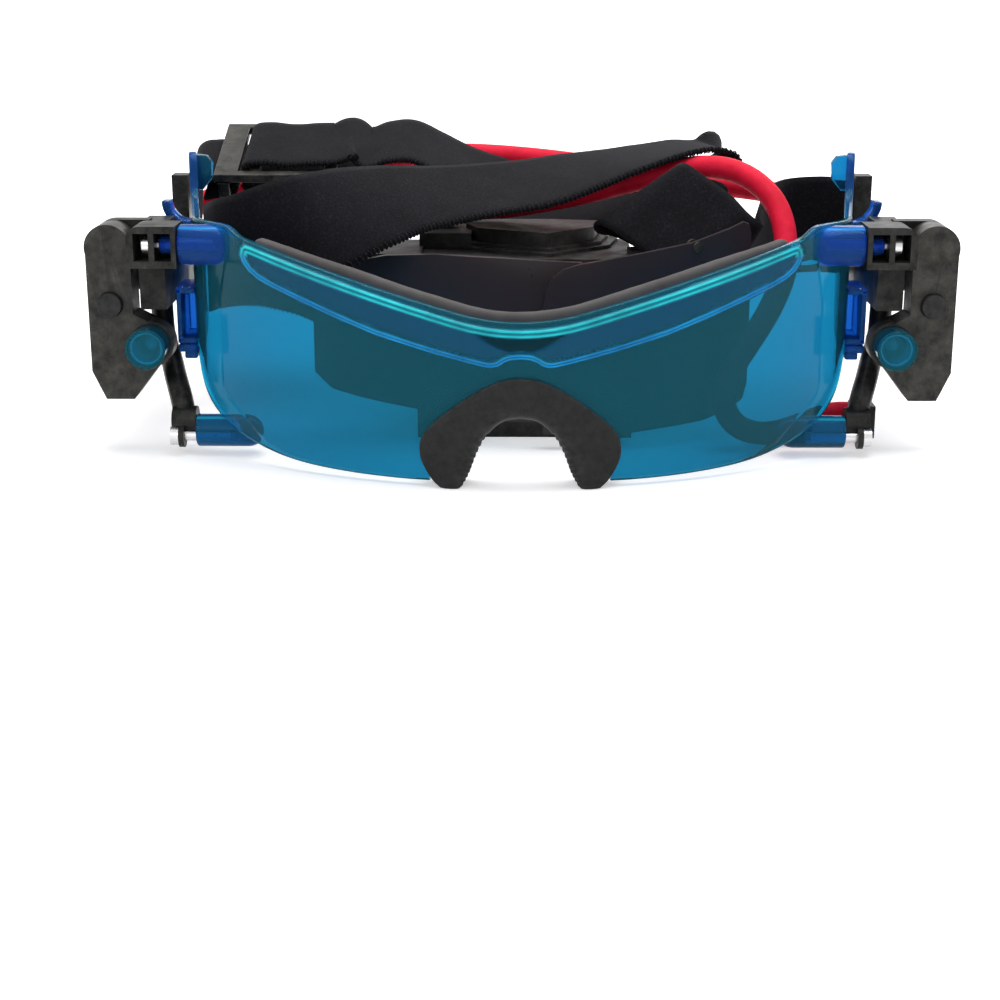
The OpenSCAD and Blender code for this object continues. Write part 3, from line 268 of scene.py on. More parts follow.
def tinted_plastic():
    """Clear blue plastic that deepens with thickness, and lets the lamps reach what is behind it.

    Where the ridge mask is 1 it carries a painted highlight, a pale cyan that is mostly diffuse, and below 0
    a little painted shade; where "deep" is 1 it is a violet blue, as thick mouldings are.
    """
    material, tree, output = new_material("tinted_plastic")
    painted_light = add(tree, "Attribute", attribute_name="painted_light").outputs["Fac"]
    deep = add(tree, "Attribute", attribute_name="deep").outputs["Fac"]
    window = mix(tree, deep, (0.06, 0.54, 0.70), (0.04, 0.14, 0.86))
    # Colours of the painted highlight on the ridges: cyan, and blue where the mask is deep
    lines = mix(tree, deep, (0.03, 0.90, 0.95), (0.01, 0.35, 0.95))
    body = add(tree, "BsdfPrincipled", Roughness=0.05, IOR=1.22, Specular_Tint=(0.3, 0.9, 1.0, 1))
    link(tree, mix(tree, painted_light, window, lines), body.inputs["Base Color"])
    # Painted highlight: the ridge mask moves share from transmission into a diffuse pale cyan; below 0, in
    # the dip, it paints a little shade
    painted_light_share = math_node(tree, "MULTIPLY", painted_light, 0.75)
    milky_deep = math_node(tree, "MULTIPLY", deep, 0.14)
    clear_share = math_node(tree, "SUBTRACT", 0.87, math_node(tree, "ADD", painted_light_share, milky_deep))
    link(tree, clear_share, body.inputs["Transmission Weight"])
    smudges = ramp(tree, noise(tree, 60, 3, 0.6), [(0.42, 0.015), (0.72, 0.05)])
    link(tree, smudges, body.inputs["Roughness"])
    clear = add(tree, "BsdfTransparent", Color=(0.5, 0.82, 0.9, 1))
    in_shadow = add(tree, "LightPath").outputs["Is Shadow Ray"]
    link(tree, blend_shaders(tree, in_shadow, body, clear), output.inputs["Surface"])
    depth = add(tree, "VolumeAbsorption", Color=(0.0, 0.58, 0.73, 1), Density=1150.0)
    link(tree, depth.outputs[0], output.inputs["Volume"])
    return material


def webbing_material():
    """Knitted elastic: a fine matte grain of yarn, faint ribs along its length and a little lint."""
    material, tree, output = new_material("black_webbing")
    uv = add(tree, "UVMap").outputs["UV"]
    parts = add(tree, "SeparateXYZ")
    link(tree, uv, parts.inputs[0])
    along = math_node(tree, "SINE", math_node(tree, "MULTIPLY", parts.outputs["X"], 9.0))
    across = math_node(tree, "SINE", math_node(tree, "MULTIPLY", parts.outputs["Y"], 11.0))
    knit = math_node(tree, "MULTIPLY", along, across)
    fuzz = noise(tree, 1900, 4, 0.75)
    height = math_node(tree, "ADD", math_node(tree, "MULTIPLY", knit, 0.12), fuzz)
    shader = add(tree, "BsdfPrincipled", Roughness=0.92, Sheen_Weight=0.05, Sheen_Roughness=0.5,
                 Specular_IOR_Level=0.1)
    yarn = ramp(tree, fuzz, [(0.3, (0.004, 0.0038, 0.005)), (0.55, (0.0095, 0.0088, 0.0118)),
                             (0.78, (0.032, 0.030, 0.037))])
    patches = ramp(tree, noise(tree, 120, 3), [(0.35, 0.75), (0.7, 1.1)])
    shade = mix(tree, 1.0, yarn, patches, "MULTIPLY")
    link(tree, shade, shader.inputs["Base Color"])
    link(tree, bump(tree, height, 0.4, 0.00015), shader.inputs["Normal"])
    link(tree, shader.outputs[0], output.inputs["Surface"])
    return material


def cord_red(tree):
    """Red that is paler in handled patches."""
    return ramp(tree, noise(tree, 150, 4, 0.6), [(0.3, (0.68, 0.006, 0.03)), (0.6, (0.88, 0.012, 0.05)),
                                                 (0.85, (0.93, 0.026, 0.075))])


def make_materials():
    """A material for every slot of the record."""
    # The pack's colours are lighter than the side frames': painted light for the pack's shade under the
    # straps
    side_dust_painted_darker = worn((0.006, 0.006, 0.0055), (0.06, 0.058, 0.052), (0.012, 0.012, 0.011))
    pack_dust_painted_lighter = worn((0.022, 0.021, 0.02), (0.07, 0.068, 0.062), (0.034, 0.032, 0.031))
    olive_dust = worn((0.010, 0.010, 0.009), (0.085, 0.08, 0.068), (0.019, 0.018, 0.016))
    rubber_dust = worn((0.012, 0.012, 0.012), (0.05, 0.05, 0.048), (0.024, 0.024, 0.023), 420)
    foam_dust = worn((0.098, 0.088, 0.086), (0.14, 0.13, 0.13), (0.125, 0.118, 0.118), 90)

    def dust_and_painted_light(tree):
        """Painted light: the pack in the middle is painted lighter than the side frames, to lift it in the
        shade under the straps.
        """
        parts = add(tree, "SeparateXYZ")
        link(tree, coordinates(tree), parts.inputs[0])
        to_side = ramp(tree, math_node(tree, "ABSOLUTE", parts.outputs["X"]), [(0.045, 0.0), (0.06, 1.0)])
        return mix(tree, to_side, pack_dust_painted_lighter(tree), side_dust_painted_darker(tree))

    finishes = {
        "foam_strip": dict(base=(0.03, 0.027, 0.024), roughness=0.95, grain=(2600, 0.25, 0.00015),
                           colour=foam_dust, Specular_IOR_Level=0.15),
        "black_rubber": dict(base=(0.02, 0.02, 0.021), roughness=0.62, grain=(2200, 0.3, 0.00015),
                             colour=rubber_dust, Specular_IOR_Level=0.2),
        "black_frame": dict(base=(0.016, 0.016, 0.016), roughness=0.42, grain=(900, 0.18, 0.0001),
                            colour=dust_and_painted_light, rough_source=uneven_roughness(0.3, 0.5),
                            Specular_IOR_Level=0.14),
        "glossy_black": dict(base=(0.04, 0.03, 0.033), roughness=0.3, grain=(40, 0.05, 0.0005),
                             rough_source=uneven_roughness(0.26, 0.36, 60), Specular_IOR_Level=0.25),
        "olive_black": dict(base=(0.03, 0.029, 0.024), roughness=0.34, grain=(700, 0.2, 0.00012),
                            colour=olive_dust, rough_source=uneven_roughness(0.24, 0.46),
                            Specular_IOR_Level=0.2),
        "red_cord": dict(base=(0.8, 0.01, 0.05), roughness=0.6, grain=(2600, 0.25, 0.00012),
                         colour=cord_red, Specular_IOR_Level=0.15),
        "bright_steel": dict(base=(0.7, 0.69, 0.69), roughness=0.3, metallic=1.0, grain=(900, 0.12, 0.00008),
                             rough_source=uneven_roughness(0.24, 0.42, 700)),
        "mirror_coat": dict(base=(0.85, 0.85, 0.87), roughness=0.08, metallic=1.0, grain=(300, 0.05, 0.0002)),
        "contact_metal": dict(base=(0.66, 0.64, 0.58), roughness=0.3, metallic=1.0,
                              grain=(1200, 0.2, 0.0001)),
        "cell_jacket": dict(base=(0.30, 0.25, 0.10), roughness=0.35, metallic=0.6, grain=(500, 0.1, 0.0001)),
        "circuit_board": dict(base=(0.02, 0.12, 0.05), roughness=0.4, grain=(1500, 0.25, 0.0001)),
        "led_clear": dict(base=(0.85, 0.85, 0.75), roughness=0.12, grain=(400, 0.05, 0.0001),
                          Transmission_Weight=0.3),
    }
    made = {slot: surface(slot, **finish) for slot, finish in finishes.items()}
    made["tinted_plastic"] = tinted_plastic()
    made["black_webbing"] = webbing_material()
    return made


materials = make_materials()
slot_of = {row["node"]: row["material_slot"] for row in frame["record"]["subparts"]}
bodies = frame["record"]["behaviour"]["bodies"]
body_of = {node: body for body, members in bodies.items() for node in members}


def new_piece(name, points, faces, slot, body="root"):
    """A smooth mesh piece from design points in millimetres, in its material and on its body."""
    mesh = bpy.data.meshes.new(name)
    mesh.from_pydata([tuple(p) for p in place(points)], [], [tuple(int(i) for i in f) for f in faces])
    mesh.validate()
    mesh.materials.append(materials[slot])
    mesh.polygons.foreach_set("use_smooth", [True] * len(mesh.polygons))
    obj = bpy.data.objects.new(name, mesh)
    bpy.context.scene.collection.objects.link(obj)
    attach(obj, body)
    return obj


def recalculate(obj):
    """Turns every face outwards."""
    work = bmesh.new()
    work.from_mesh(obj.data)
    bmesh.ops.recalc_face_normals(work, faces=work.faces)
    work.to_mesh(obj.data)
    work.free()


# Leads

ROUTE_STEPS = 8
CORD_SIDES = 20


def lead(name, route):
    """A round cord along its route, as a mesh tube. Its far end goes back into the object."""
    path = relaxed(smooth(route, ROUTE_STEPS))
    points, faces = tube(path, CORD_SIZE / 2, CORD_SIDES)
    obj = new_piece(name + "_sleeve", points, faces, "red_cord", body_of[name])
    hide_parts(name)


def across_path(path, start):
    """Two directions square to a path at each point, which turn with it as little as they can."""
    heading = unit_rows(np.gradient(path, axis=0))
    normal = np.array(start, float)
    normals = []
    for h in heading:
        normal = normal - (normal @ h) * h
        normal /= np.linalg.norm(normal)
        normals.append(normal)
    normals = np.array(normals)
    return normals, np.cross(heading, normals)


def tube(path, radius, sides, start=(0.2, 0.3, 1.0)):
    """Points and faces of a closed tube. radius is one number, or one for each ring."""
    radius = np.broadcast_to(radius, len(path))
    a, b = across_path(path, start)
    turn = np.arange(sides) * 2 * math.pi / sides
    ring = radius[:, None, None] * (np.cos(turn)[None, :, None] * a[:, None, :]
                                    + np.sin(turn)[None, :, None] * b[:, None, :])
    points = (path[:, None, :] + ring).reshape(-1, 3)
    return points, closed_rings(len(path), sides)


def ring_faces(rows, columns):
    """Quads between rows of points, each row a closed ring."""
    faces = []
    for i in range(rows - 1):
        here = i * columns
        above = here + columns
        for k in range(columns):
            n = (k + 1) % columns
            faces.append([here + k, here + n, above + n, above + k])
    return faces


def closed_rings(rows, columns):
    """The same with a face over the first and the last ring."""
    faces = ring_faces(rows, columns)
    faces.append(list(range(columns))[::-1])
    faces.append([(rows - 1) * columns + k for k in range(columns)])
    return faces


lead("pack_lead", PACK_LEAD)
lead("link_lead", LINK_LEAD)

# Webbing

STRAP_WIDTH = 25
STRAP_THICK = 1.4
SLIDER_AT = np.array([-61, 94, 62.5])
SLIDER_TILT = math.radians(19)
ACROSS = (0, math.cos(SLIDER_TILT), math.sin(SLIDER_TILT))
BACK_ACROSS = (0, -math.cos(SLIDER_TILT), -math.sin(SLIDER_TILT))
UPRIGHT = (0, 0, 1)
PLATE_MID = 84.7586
PLATE_END = 80.5402
SLOT_END = PLATE_END - 5.2
ANCHOR_Z = 45
PACK_LEFT = -24.6
PACK_RIGHT = 26.6
LUG_LEFT = PACK_LEFT - 5.2
LUG_RIGHT = PACK_RIGHT + 5.2
LUG_Y = 61
LUG_Z = 25


def on_slider(along, up):
    return tuple(SLIDER_AT + np.array([along, -up * math.sin(SLIDER_TILT), up * math.cos(SLIDER_TILT)]))


def facing(across, *places):
    """Stations whose webbing has its width the same way."""
    return [(at, across) for at in places]


# Stations of each strap: a place and the direction of the webbing's width, as the part lays them
STRAP_LONG = [
    ((-5, 95, 55), (0, 0.9, 0.4)),
    *facing(ACROSS, (-13, 95, 58.5), (-21, 94, 62.5), (-28, 94, 65.5), (-34, 94, 65.2), (-39, 94, 63.8),
            (-43, 94, 66), on_slider(13.5, 2.6), on_slider(8, 2.4), on_slider(2, 2), on_slider(-4, 2.6),
            on_slider(-8.4, 1.9), on_slider(-8.8, -1.8), on_slider(-9, -4.2), on_slider(-5, -6),
            on_slider(2, -6.4), on_slider(9, -6.6), on_slider(16, -6.8), (-38, 95, 54), (-28, 94.5, 51.8),
            (-14, 94, 49.6), (2, 93, 48.4)),
    ((16, 91, 49.4), (0, 0.95, 0.3)), ((30, 88.5, 52.6), (0, 0.96, 0.24)),
    ((41, 86.5, 57.4), (-0.05, 0.99, 0.08)), ((47.5, 86, 60.4), (-0.05, 1, -0.04)),
    ((50, 85.5, 62.8), (-0.05, 0.99, -0.12)), ((47.5, 84, 64.8), (-0.05, 0.99, -0.08)),
    ((42, 81.5, 65.6), (-0.05, 1, 0)), ((33, 77, 64.6), (-0.05, 1, 0.06)),
    ((24, 72, 63), (-0.08, 0.98, 0.14)), ((14, 67, 61), (-0.08, 0.96, 0.25)),
    ((3, 61, 58.9), (-0.1, 0.94, 0.33)), ((-8, 56, 58), (-0.12, 0.93, 0.36)),
    ((-19, 51, 57.4), (-0.17, 0.9, 0.42)), ((-29, 45, 57), (-0.3, 0.8, 0.53)),
    ((-38, 38, 55.5), (-0.4, 0.6, 0.7)), ((-46, 33, 53), (-0.4, 0.35, 0.85)),
    ((-54, 32, 50.5), (-0.3, 0.15, 0.94)), ((-62, 34, 47.6), (-0.1, 0.05, 1)),
    *facing(UPRIGHT, (-69.4, 40, 45.2), (-74, 50, 42.6), (-75.6, 60, 40.4), (-73, 69.5, 39.6),
            (-66, 76, 38.6), (-56, 77.4, 36), (-47, 72.5, 33), (-41, 67.5, 28.6), (-36.4, 63.2, 26.2),
            (LUG_LEFT - 3, LUG_Y + 0.2, LUG_Z + 0.1), (LUG_LEFT + 0.4, LUG_Y, LUG_Z),
            (PACK_LEFT - 2, LUG_Y, LUG_Z))]
STRAP_RIGHT = [
    *facing(UPRIGHT, (PLATE_MID, SLOT_END + 0.4, ANCHOR_Z), (PLATE_MID, PLATE_END + 1, ANCHOR_Z),
            (82, 86.5, 45), (75, 89, 45), (67, 87, 44.5)),
    ((62, 79, 43.5), (-0.04, -0.15, 0.99)), ((57.5, 70, 41.5), (0.09, -0.24, 0.97)),
    ((54, 62, 40), (0.26, -0.22, 0.94)), ((51.5, 55.5, 39.5), (0.5, -0.12, 0.86)),
    ((48.5, 51.2, 41.5), (0.63, 0.04, 0.77)), ((44.8, 48.8, 45), (0.71, 0.25, 0.66)),
    *facing((0.76, 0.28, 0.59), (40.5, 51.2, 49.5), (35, 53.8, 53.2), (30.6, 56.4, 56)),
    ((28, 59.6, 56.2), (0.82, 0.2, 0.54)), ((28.6, 61.6, 53.4), (0.84, 0.08, 0.53)),
    ((34.8, 62.2, 52.2), (0.78, 0, 0.62)), ((43, 62, 47.2), (0.55, 0, 0.83)),
    ((43.5, 61.8, 39.5), (0.32, 0, 0.95)), ((41.8, 61.4, 31.5), (0.1, 0, 1)),
    *facing(UPRIGHT, (LUG_RIGHT + 6, LUG_Y, LUG_Z + 1.4), (LUG_RIGHT + 2.4, LUG_Y, LUG_Z),
            (LUG_RIGHT - 0.4, LUG_Y, LUG_Z), (PACK_RIGHT + 2, LUG_Y, LUG_Z))]
STRAP_SHORT = [
    *facing(UPRIGHT, (-PLATE_MID, SLOT_END + 0.8, ANCHOR_Z), (-PLATE_MID, PLATE_END + 0.8, ANCHOR_Z)),
    ((-PLATE_MID, PLATE_END + 6.8, 46.2), (0, -0.42, 0.91)),
    ((-PLATE_MID, PLATE_END + 11.2, 49.4), (0, -0.77, 0.64)),
    ((-PLATE_MID, PLATE_END + 13.4, 53.4), (0, -0.97, 0.26)), ((-84.4, 94.6, 57), (0, -1, -0.1)),
    *facing(BACK_ACROSS, (-82.8, 94.8, 59.6), on_slider(-18.8, -2.3), on_slider(-15.6, -2.3),
            on_slider(-12.4, -2.5), on_slider(-11.2, -4.4), on_slider(-12.6, -6.3), on_slider(-16.2, -6.6),
            on_slider(-19.6, -7.2))]

STRAP_STEPS = 12
SECTION_PLACES = 15
# The cloth is this much smaller than its solid at each edge and on each face
EDGE_ROOM = 0.35
SKIN_ROOM = 0.15
TOOTH_PITCH = 1.1
TOOTH_RADIUS = 0.23


def strap_section(half):
    """The webbing's section, a flat oval that thins at its edges, as pairs of distance across and depth."""
    thick = STRAP_THICK / 2 - SKIN_ROOM
    front = [(v * half, thick * (1.0 if abs(v) < 0.93 else 0.75)) for v in np.linspace(-1, 1, SECTION_PLACES)]
    return np.array(front + [(across, -deep) for across, deep in front[::-1]])


def set_uvs(obj, uvs):
    """Lays out the mesh with a place in uvs for each of its points."""
    index = np.zeros(len(obj.data.loops), dtype=np.int32)
    obj.data.loops.foreach_get("vertex_index", index)
    layer = obj.data.uv_layers.new(name="UVMap")
    layer.data.foreach_set("uv", uvs[index].astype(np.float32).ravel())


def webbing(name, stations, fanned=False, teeth=False):
    """Woven elastic along its stations. With teeth its near edge shows its overlock stitches."""
    mids = smooth([at for at, _ in stations], STRAP_STEPS)
    widths = smooth([across for _, across in stations], STRAP_STEPS)
    heading = unit_rows(np.gradient(mids, axis=0))
    if not fanned:
        widths = widths - (widths * heading).sum(1)[:, None] * heading
    wide = unit_rows(widths)
    deep = unit_rows(np.cross(heading, wide))
    run = run_along(mids)
    half = STRAP_WIDTH / 2 - EDGE_ROOM
    section = strap_section(half)
    points = (mids[:, None, :] + section[None, :, 0, None] * wide[:, None, :]
              + section[None, :, 1, None] * deep[:, None, :]).reshape(-1, 3)
    count = len(section)
    obj = new_piece(name + "_cloth", points, closed_rings(len(mids), count), "black_webbing", body_of[name])
    recalculate(obj)
    set_uvs(obj, np.stack([np.repeat(run, count), np.tile(section[:, 0], len(mids))], axis=1))
    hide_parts(name)
    stitches = [edge_stitches(name, mids, wide, deep, heading, run, half)] if teeth else []


def edge_stitches(name, mids, wide, deep, heading, run, half):
    """Overlock teeth along one edge: small capsules wrapped from one face to the other."""
    points = []
    faces = []
    places = np.arange(TOOTH_PITCH, run[-1] - TOOTH_PITCH, TOOTH_PITCH)
    for tooth, at in enumerate(places):
        mid, w, d, h = [np.array([np.interp(at, run, rows[:, k]) for k in range(3)])
                        for rows in (mids, wide, deep, heading)]
        lean = 0.28 if tooth % 2 else -0.28
        bend = [(-1.0, -0.58, -lean), (-0.3, -0.7, 0.0), (0.2, -0.4, 0.0), (0.34, 0.0, 0.0),
                (0.2, 0.4, 0.0), (-0.3, 0.7, 0.0), (-1.0, 0.58, lean)]
        path = np.array([mid - w * (half + a) + d * b + h * c for a, b, c in bend])
        radius = TOOTH_RADIUS * np.array([0.35, 0.8, 1, 1, 1, 0.8, 0.35])
        ring, quads = tube(path, radius, 5, start=h)
        faces += [[len(points) + i for i in f] for f in quads]
        points += list(ring)
    obj = new_piece(name + "_overlock", points, faces, "black_webbing", body_of[name])
    set_uvs(obj, np.zeros((len(points), 2)))
    return obj


webbing("strap_long", STRAP_LONG, teeth=True)
webbing("strap_right", STRAP_RIGHT, fanned=True)
webbing("strap_short", STRAP_SHORT)

# Shield: a shell lofted in upright columns along its plan curve

FACE_HALF = 72
FACE_RADIUS = 100
CORNER_RADIUS = 14
SHELL_WALL = 2
BROW_HEIGHT = 36.8
BROW_SLOPE = 0.265
BROW_LOWER = 2
BEND_HALF = 14
WING_LENGTH = 36
WING_TURN = math.radians(80)
FACE_TURN = math.asin(FACE_HALF / FACE_RADIUS)
CORNER_X = (FACE_RADIUS - CORNER_RADIUS) * math.sin(FACE_TURN)
CORNER_Y = FACE_RADIUS - (FACE_RADIUS - CORNER_RADIUS) * math.cos(FACE_TURN)
WING_X = CORNER_X + CORNER_RADIUS * math.sin(WING_TURN)
WING_Y = CORNER_Y - CORNER_RADIUS * math.cos(WING_TURN)
WING_END_X = WING_X + WING_LENGTH * math.cos(WING_TURN)
WING_END_Y = WING_Y + WING_LENGTH * math.sin(WING_TURN)
FACE_DEPTH = FACE_RADIUS * (1 - math.cos(FACE_TURN))
SIDE_TOP = BROW_HEIGHT + BROW_SLOPE * 62 + 0.6
LENS_BOTTOM = 1.2
WING_BOTTOM = 25
FACE_RUN = FACE_RADIUS * FACE_TURN
CORNER_RUN = CORNER_RADIUS * (WING_TURN - FACE_TURN)
TOTAL_RUN = FACE_RUN + CORNER_RUN + WING_LENGTH
# Half width and height of the arch that the nose piece covers
NOSE_WIDE = 19.8
NOSE_HIGH = 22.7


def plan(run):
    """Place and outward direction on the plan curve at a signed distance along it, from the middle."""
    side = -1 if run < 0 else 1
    s = abs(run)
    if s <= FACE_RUN:
        turn = s / FACE_RADIUS
        at = (FACE_RADIUS * math.sin(turn), FACE_RADIUS - FACE_RADIUS * math.cos(turn))
    elif s <= FACE_RUN + CORNER_RUN:
        turn = FACE_TURN + (s - FACE_RUN) / CORNER_RADIUS
        at = (CORNER_X + CORNER_RADIUS * math.sin(turn), CORNER_Y - CORNER_RADIUS * math.cos(turn))
    else:
        turn = WING_TURN
        rest = s - FACE_RUN - CORNER_RUN
        at = (WING_X + rest * math.cos(turn), WING_Y + rest * math.sin(turn))
    return np.array([side * at[0], at[1]]), np.array([side * math.sin(turn), -math.cos(turn)])


def brow_line(x, drop, slope):
    x = abs(x)
    rounded = x if x > BEND_HALF else (x * x / BEND_HALF + BEND_HALF) / 2
    return BROW_HEIGHT - drop + slope * rounded


def through(knots):
    """A function that follows knots (place, value), softened a little at each."""
    fine = smooth(knots, 5)
    return lambda at: float(np.interp(at, fine[:, 0], fine[:, 1]))


face_top = through([(60, brow_line(60, BROW_LOWER, BROW_SLOPE)), (63, brow_line(63, BROW_LOWER, BROW_SLOPE)),
                    (66, SIDE_TOP - 0.4), (70, SIDE_TOP), (WING_X + 4, SIDE_TOP)])
wing_top = through([(WING_Y - 2, SIDE_TOP), (WING_Y + 1, SIDE_TOP), (WING_Y + 3.5, SIDE_TOP - 1.6),
                    (WING_Y + 12, SIDE_TOP - 1.8), (WING_Y + 20, SIDE_TOP - 0.4),
                    (WING_END_Y - 10, SIDE_TOP + 1.6), (WING_END_Y - 7.4, SIDE_TOP + 5),
                    (WING_END_Y - 6.6, SIDE_TOP + 9),
                    (WING_END_Y - 4.6, SIDE_TOP + 11), (WING_END_Y - 2, SIDE_TOP + 11.2),
                    (WING_END_Y + 0.4, SIDE_TOP + 9)])
face_low = through([(NOSE_WIDE, LENS_BOTTOM), (26, LENS_BOTTOM), (37.7, 1.5), (49.4, 2.3), (58, 4),
                    (66, 7), (71, 11), (WING_X - 2, 16), (WING_X - 0.6, 22), (WING_X + 0.4, WING_BOTTOM)])
wing_low = through([(WING_Y - 1, WING_BOTTOM), (WING_END_Y - 6, WING_BOTTOM + 1.5),
                    (WING_END_Y + 0.4, WING_BOTTOM + 4)])
nose_low = through([(NOSE_WIDE * share, NOSE_HIGH - drop) for share, drop in
                    ((0, 0), (0.2, 0.7), (0.4, 2.7), (0.6, 5.6), (0.8, 9), (0.93, 12), (1, 14.6))])


def column_limits(run):
    """Bottom and top of the shell at a distance along the plan."""
    (x, y), _ = plan(run)
    if abs(run) > FACE_RUN + CORNER_RUN:
        return wing_low(y), wing_top(y)
    x = abs(x)
    top = brow_line(x, BROW_LOWER, BROW_SLOPE) if x < 60 else face_top(x)
    low = nose_low(x) if x < NOSE_WIDE else face_low(x)
    return low, top


def distance_to_outline(x, z, outline):
    """Signed distance from points to a closed outline, positive inside."""
    p = np.stack([x, z], axis=-1)
    a = np.asarray(outline, float)
    b = np.roll(a, -1, axis=0)
    best = np.full(x.shape, 1e9)
    inside = np.zeros(x.shape, bool)
    for (ax, az), (bx, bz) in zip(a, b):
        e = np.array([bx - ax, bz - az])
        w = p - np.array([ax, az])
        t = np.clip((w @ e) / (e @ e), 0, 1)
        gap = np.linalg.norm(w - t[..., None] * e, axis=-1)
        best = np.minimum(best, gap)
        crosses = ((az > z) != (bz > z)) & (x < (bx - ax) * (z - az) / (bz - az + 1e-12) + ax)
        inside ^= crosses
    return np.where(inside, best, -best)


def mirrored(outline):
    """An outline's right half, from and to the middle line, with its left half."""
    return outline + [(-x, z) for x, z in outline[::-1] if x != 0]


band_top = [(x, brow_line(x, BROW_LOWER + 1.5, BROW_SLOPE + 0.015)) for x in (0, 3.5, 7, 10.5, 14, 59.5)]
band_low = [(61, 50.2), (62.1, 49.4), (62.4, 47.8), (61.6, 45.9), (60.3, 44.4), (58.4, 43), (55.5, 41.7),
            (42, 36.8), (32, 33.3), (20, 30), (9.4, 27.4), (7.4, 27), (6.2, 26.9), (4.8, 27.2), (3.6, 28),
            (2.2, 28.6), (0, 28.8)]
BAND_OUTLINE = mirrored(band_top + band_low)
WINDOW_OUTLINE = mirrored([(0, 40), (60, 46), (66, 45.8), (68, 36.5), (68, 17), (67.6, 15.4), (66.4, 14),
                           (57.5, 5.6), (52, 3.6), (38, 2.4), (26, 2), (0, 2)])
# Small lens-shaped dip in the middle of the shield
DIP_OUTLINE = mirrored([(0, 33.3), (5, 33.5), (9.8, 34.3), (7.5, 32.6), (5, 31.3), (2.5, 30.5), (0, 30.2)])


def blend_step(value, width):
    t = np.clip(value / width + 0.5, 0, 1)
    return t * t * (3 - 2 * t)


# How far the window, the band, and the band's two pairs of ridges stand out, and how deep the dip is
WINDOW_RISE = 0.4
BAND_STEP = 0.8
RIDGE_UPPER = 0.4
RIDGE_LOWER = 0.25
DIP_DEPTH = 0.3


def ridge_shares(x, z):
    """How much of the bright upper pair of ridges and of the thinner lower pair is at each place."""
    band = distance_to_outline(x, z, BAND_OUTLINE)
    upper = blend_step(z - (30.6 + 0.28 * np.abs(x)), 1.2)
    wide = np.exp(-((band - 0.5) / 0.34) ** 2) + np.exp(-((band - 1.5) / 0.34) ** 2)
    thin = np.exp(-((band - 0.3) / 0.2) ** 2) + np.exp(-((band - 0.95) / 0.2) ** 2)
    return wide * upper, thin * (1 - upper)


def relief(x, z):
    """How far the outer face stands out of the plan curve."""
    band = distance_to_outline(x, z, BAND_OUTLINE)
    window = distance_to_outline(x, z, WINDOW_OUTLINE)
    dip = distance_to_outline(x, z, DIP_OUTLINE)
    upper, lower = ridge_shares(x, z)
    out = np.maximum(WINDOW_RISE * blend_step(window, 0.6), BAND_STEP * blend_step(band, 0.9))
    return out + RIDGE_UPPER * upper + RIDGE_LOWER * lower - DIP_DEPTH * blend_step(dip, 0.7)


def column_step(run):
    """Distance from one column of the shell to the next, shorter where its outline is steep."""
    x, y = plan(run)[0]
    if y > WING_END_Y - 11:
        return 0.3
    if abs(x - NOSE_WIDE) < 0.8:
        return 0.2
    if x < 9 or 55 < x < 72:
        return 0.35
    if x < 22:
        return 0.7
    return 0.6 if run > FACE_RUN else 1.0


def shell_columns():
    """Distances along the plan at which the shell has a column."""
    half = []
    at = 0.0
    while at < TOTAL_RUN - 0.2:
        half.append(at)
        at += column_step(at)
    half.append(TOTAL_RUN)
    return [-s for s in half[:0:-1]] + half


# Rows of the outer face are close together over the band, whose lines run level with the top edge
BAND_ROWS = 84
BAND_DEPTH = 11
LOWER_ROWS = 76
INNER_ROWS = 40
EDGE_ROUND = 0.6


def outer_heights(low, top):
    """Heights of the outer face's rows in one column, from the bottom up."""
    joint = top - min(BAND_DEPTH, 0.9 * (top - low))
    return np.concatenate([np.linspace(low, joint, LOWER_ROWS)[:-1], np.linspace(joint, top, BAND_ROWS)])


def shield_shell():
    """Points and faces of the shell: each column goes up the outer face, over the edge and down the inner."""
    runs = shell_columns()
    down = np.linspace(1, 0, INNER_ROWS)
    corner = np.radians([22.5, 45, 67.5])
    near = EDGE_ROUND * (1 - np.cos(corner))
    far = EDGE_ROUND * (1 - np.sin(corner))
    points = []
    for run in runs:
        at, out = plan(run)
        low, top = column_limits(run)
        z = outer_heights(low + EDGE_ROUND, top - EDGE_ROUND)
        on_face = abs(run) < FACE_RUN + CORNER_RUN
        lift = relief(np.full(z.shape, at[0]), z) if on_face else np.zeros(z.shape)
        column = [*zip(lift, z), *zip(lift[-1] - near, top - far), *zip(far - SHELL_WALL, top - near)]
        column += [(-SHELL_WALL, low + EDGE_ROUND + (top - low - 2 * EDGE_ROUND) * t) for t in down]
        column += [*zip(near - SHELL_WALL, low + far), *zip(lift[0] - far, low + near)]
        points += [(at[0] + out[0] * d, at[1] + out[1] * d, h) for d, h in column]
    count = len(points) // len(runs)
    faces = ring_faces(len(runs), count)
    faces.append(list(range(count)))
    faces.append([(len(runs) - 1) * count + k for k in range(count)][::-1])
    return np.array(points), faces


def merge(parts):
    """Joins lists of (points, faces) into one."""
    points = []
    faces = []
    for part_points, part_faces in parts:
        first = len(points)
        points += [tuple(p) for p in part_points]
        faces += [[first + i for i in f] for f in part_faces]
    return points, faces


BARREL_SIDES = 48


def lathe_x(profile, y, z):
    """A solid turned about an axis along X, from (x, radius) pairs."""
    points = []
    for x, radius in profile:
        for k in range(BARREL_SIDES):
            a = 2 * math.pi * k / BARREL_SIDES
            points.append((x, y + radius * math.cos(a), z + radius * math.sin(a)))
    return points, ring_faces(len(profile), BARREL_SIDES)


def flip_x(part):
    points, faces = part
    return [(-x, y, z) for x, y, z in points], [f[::-1] for f in faces]


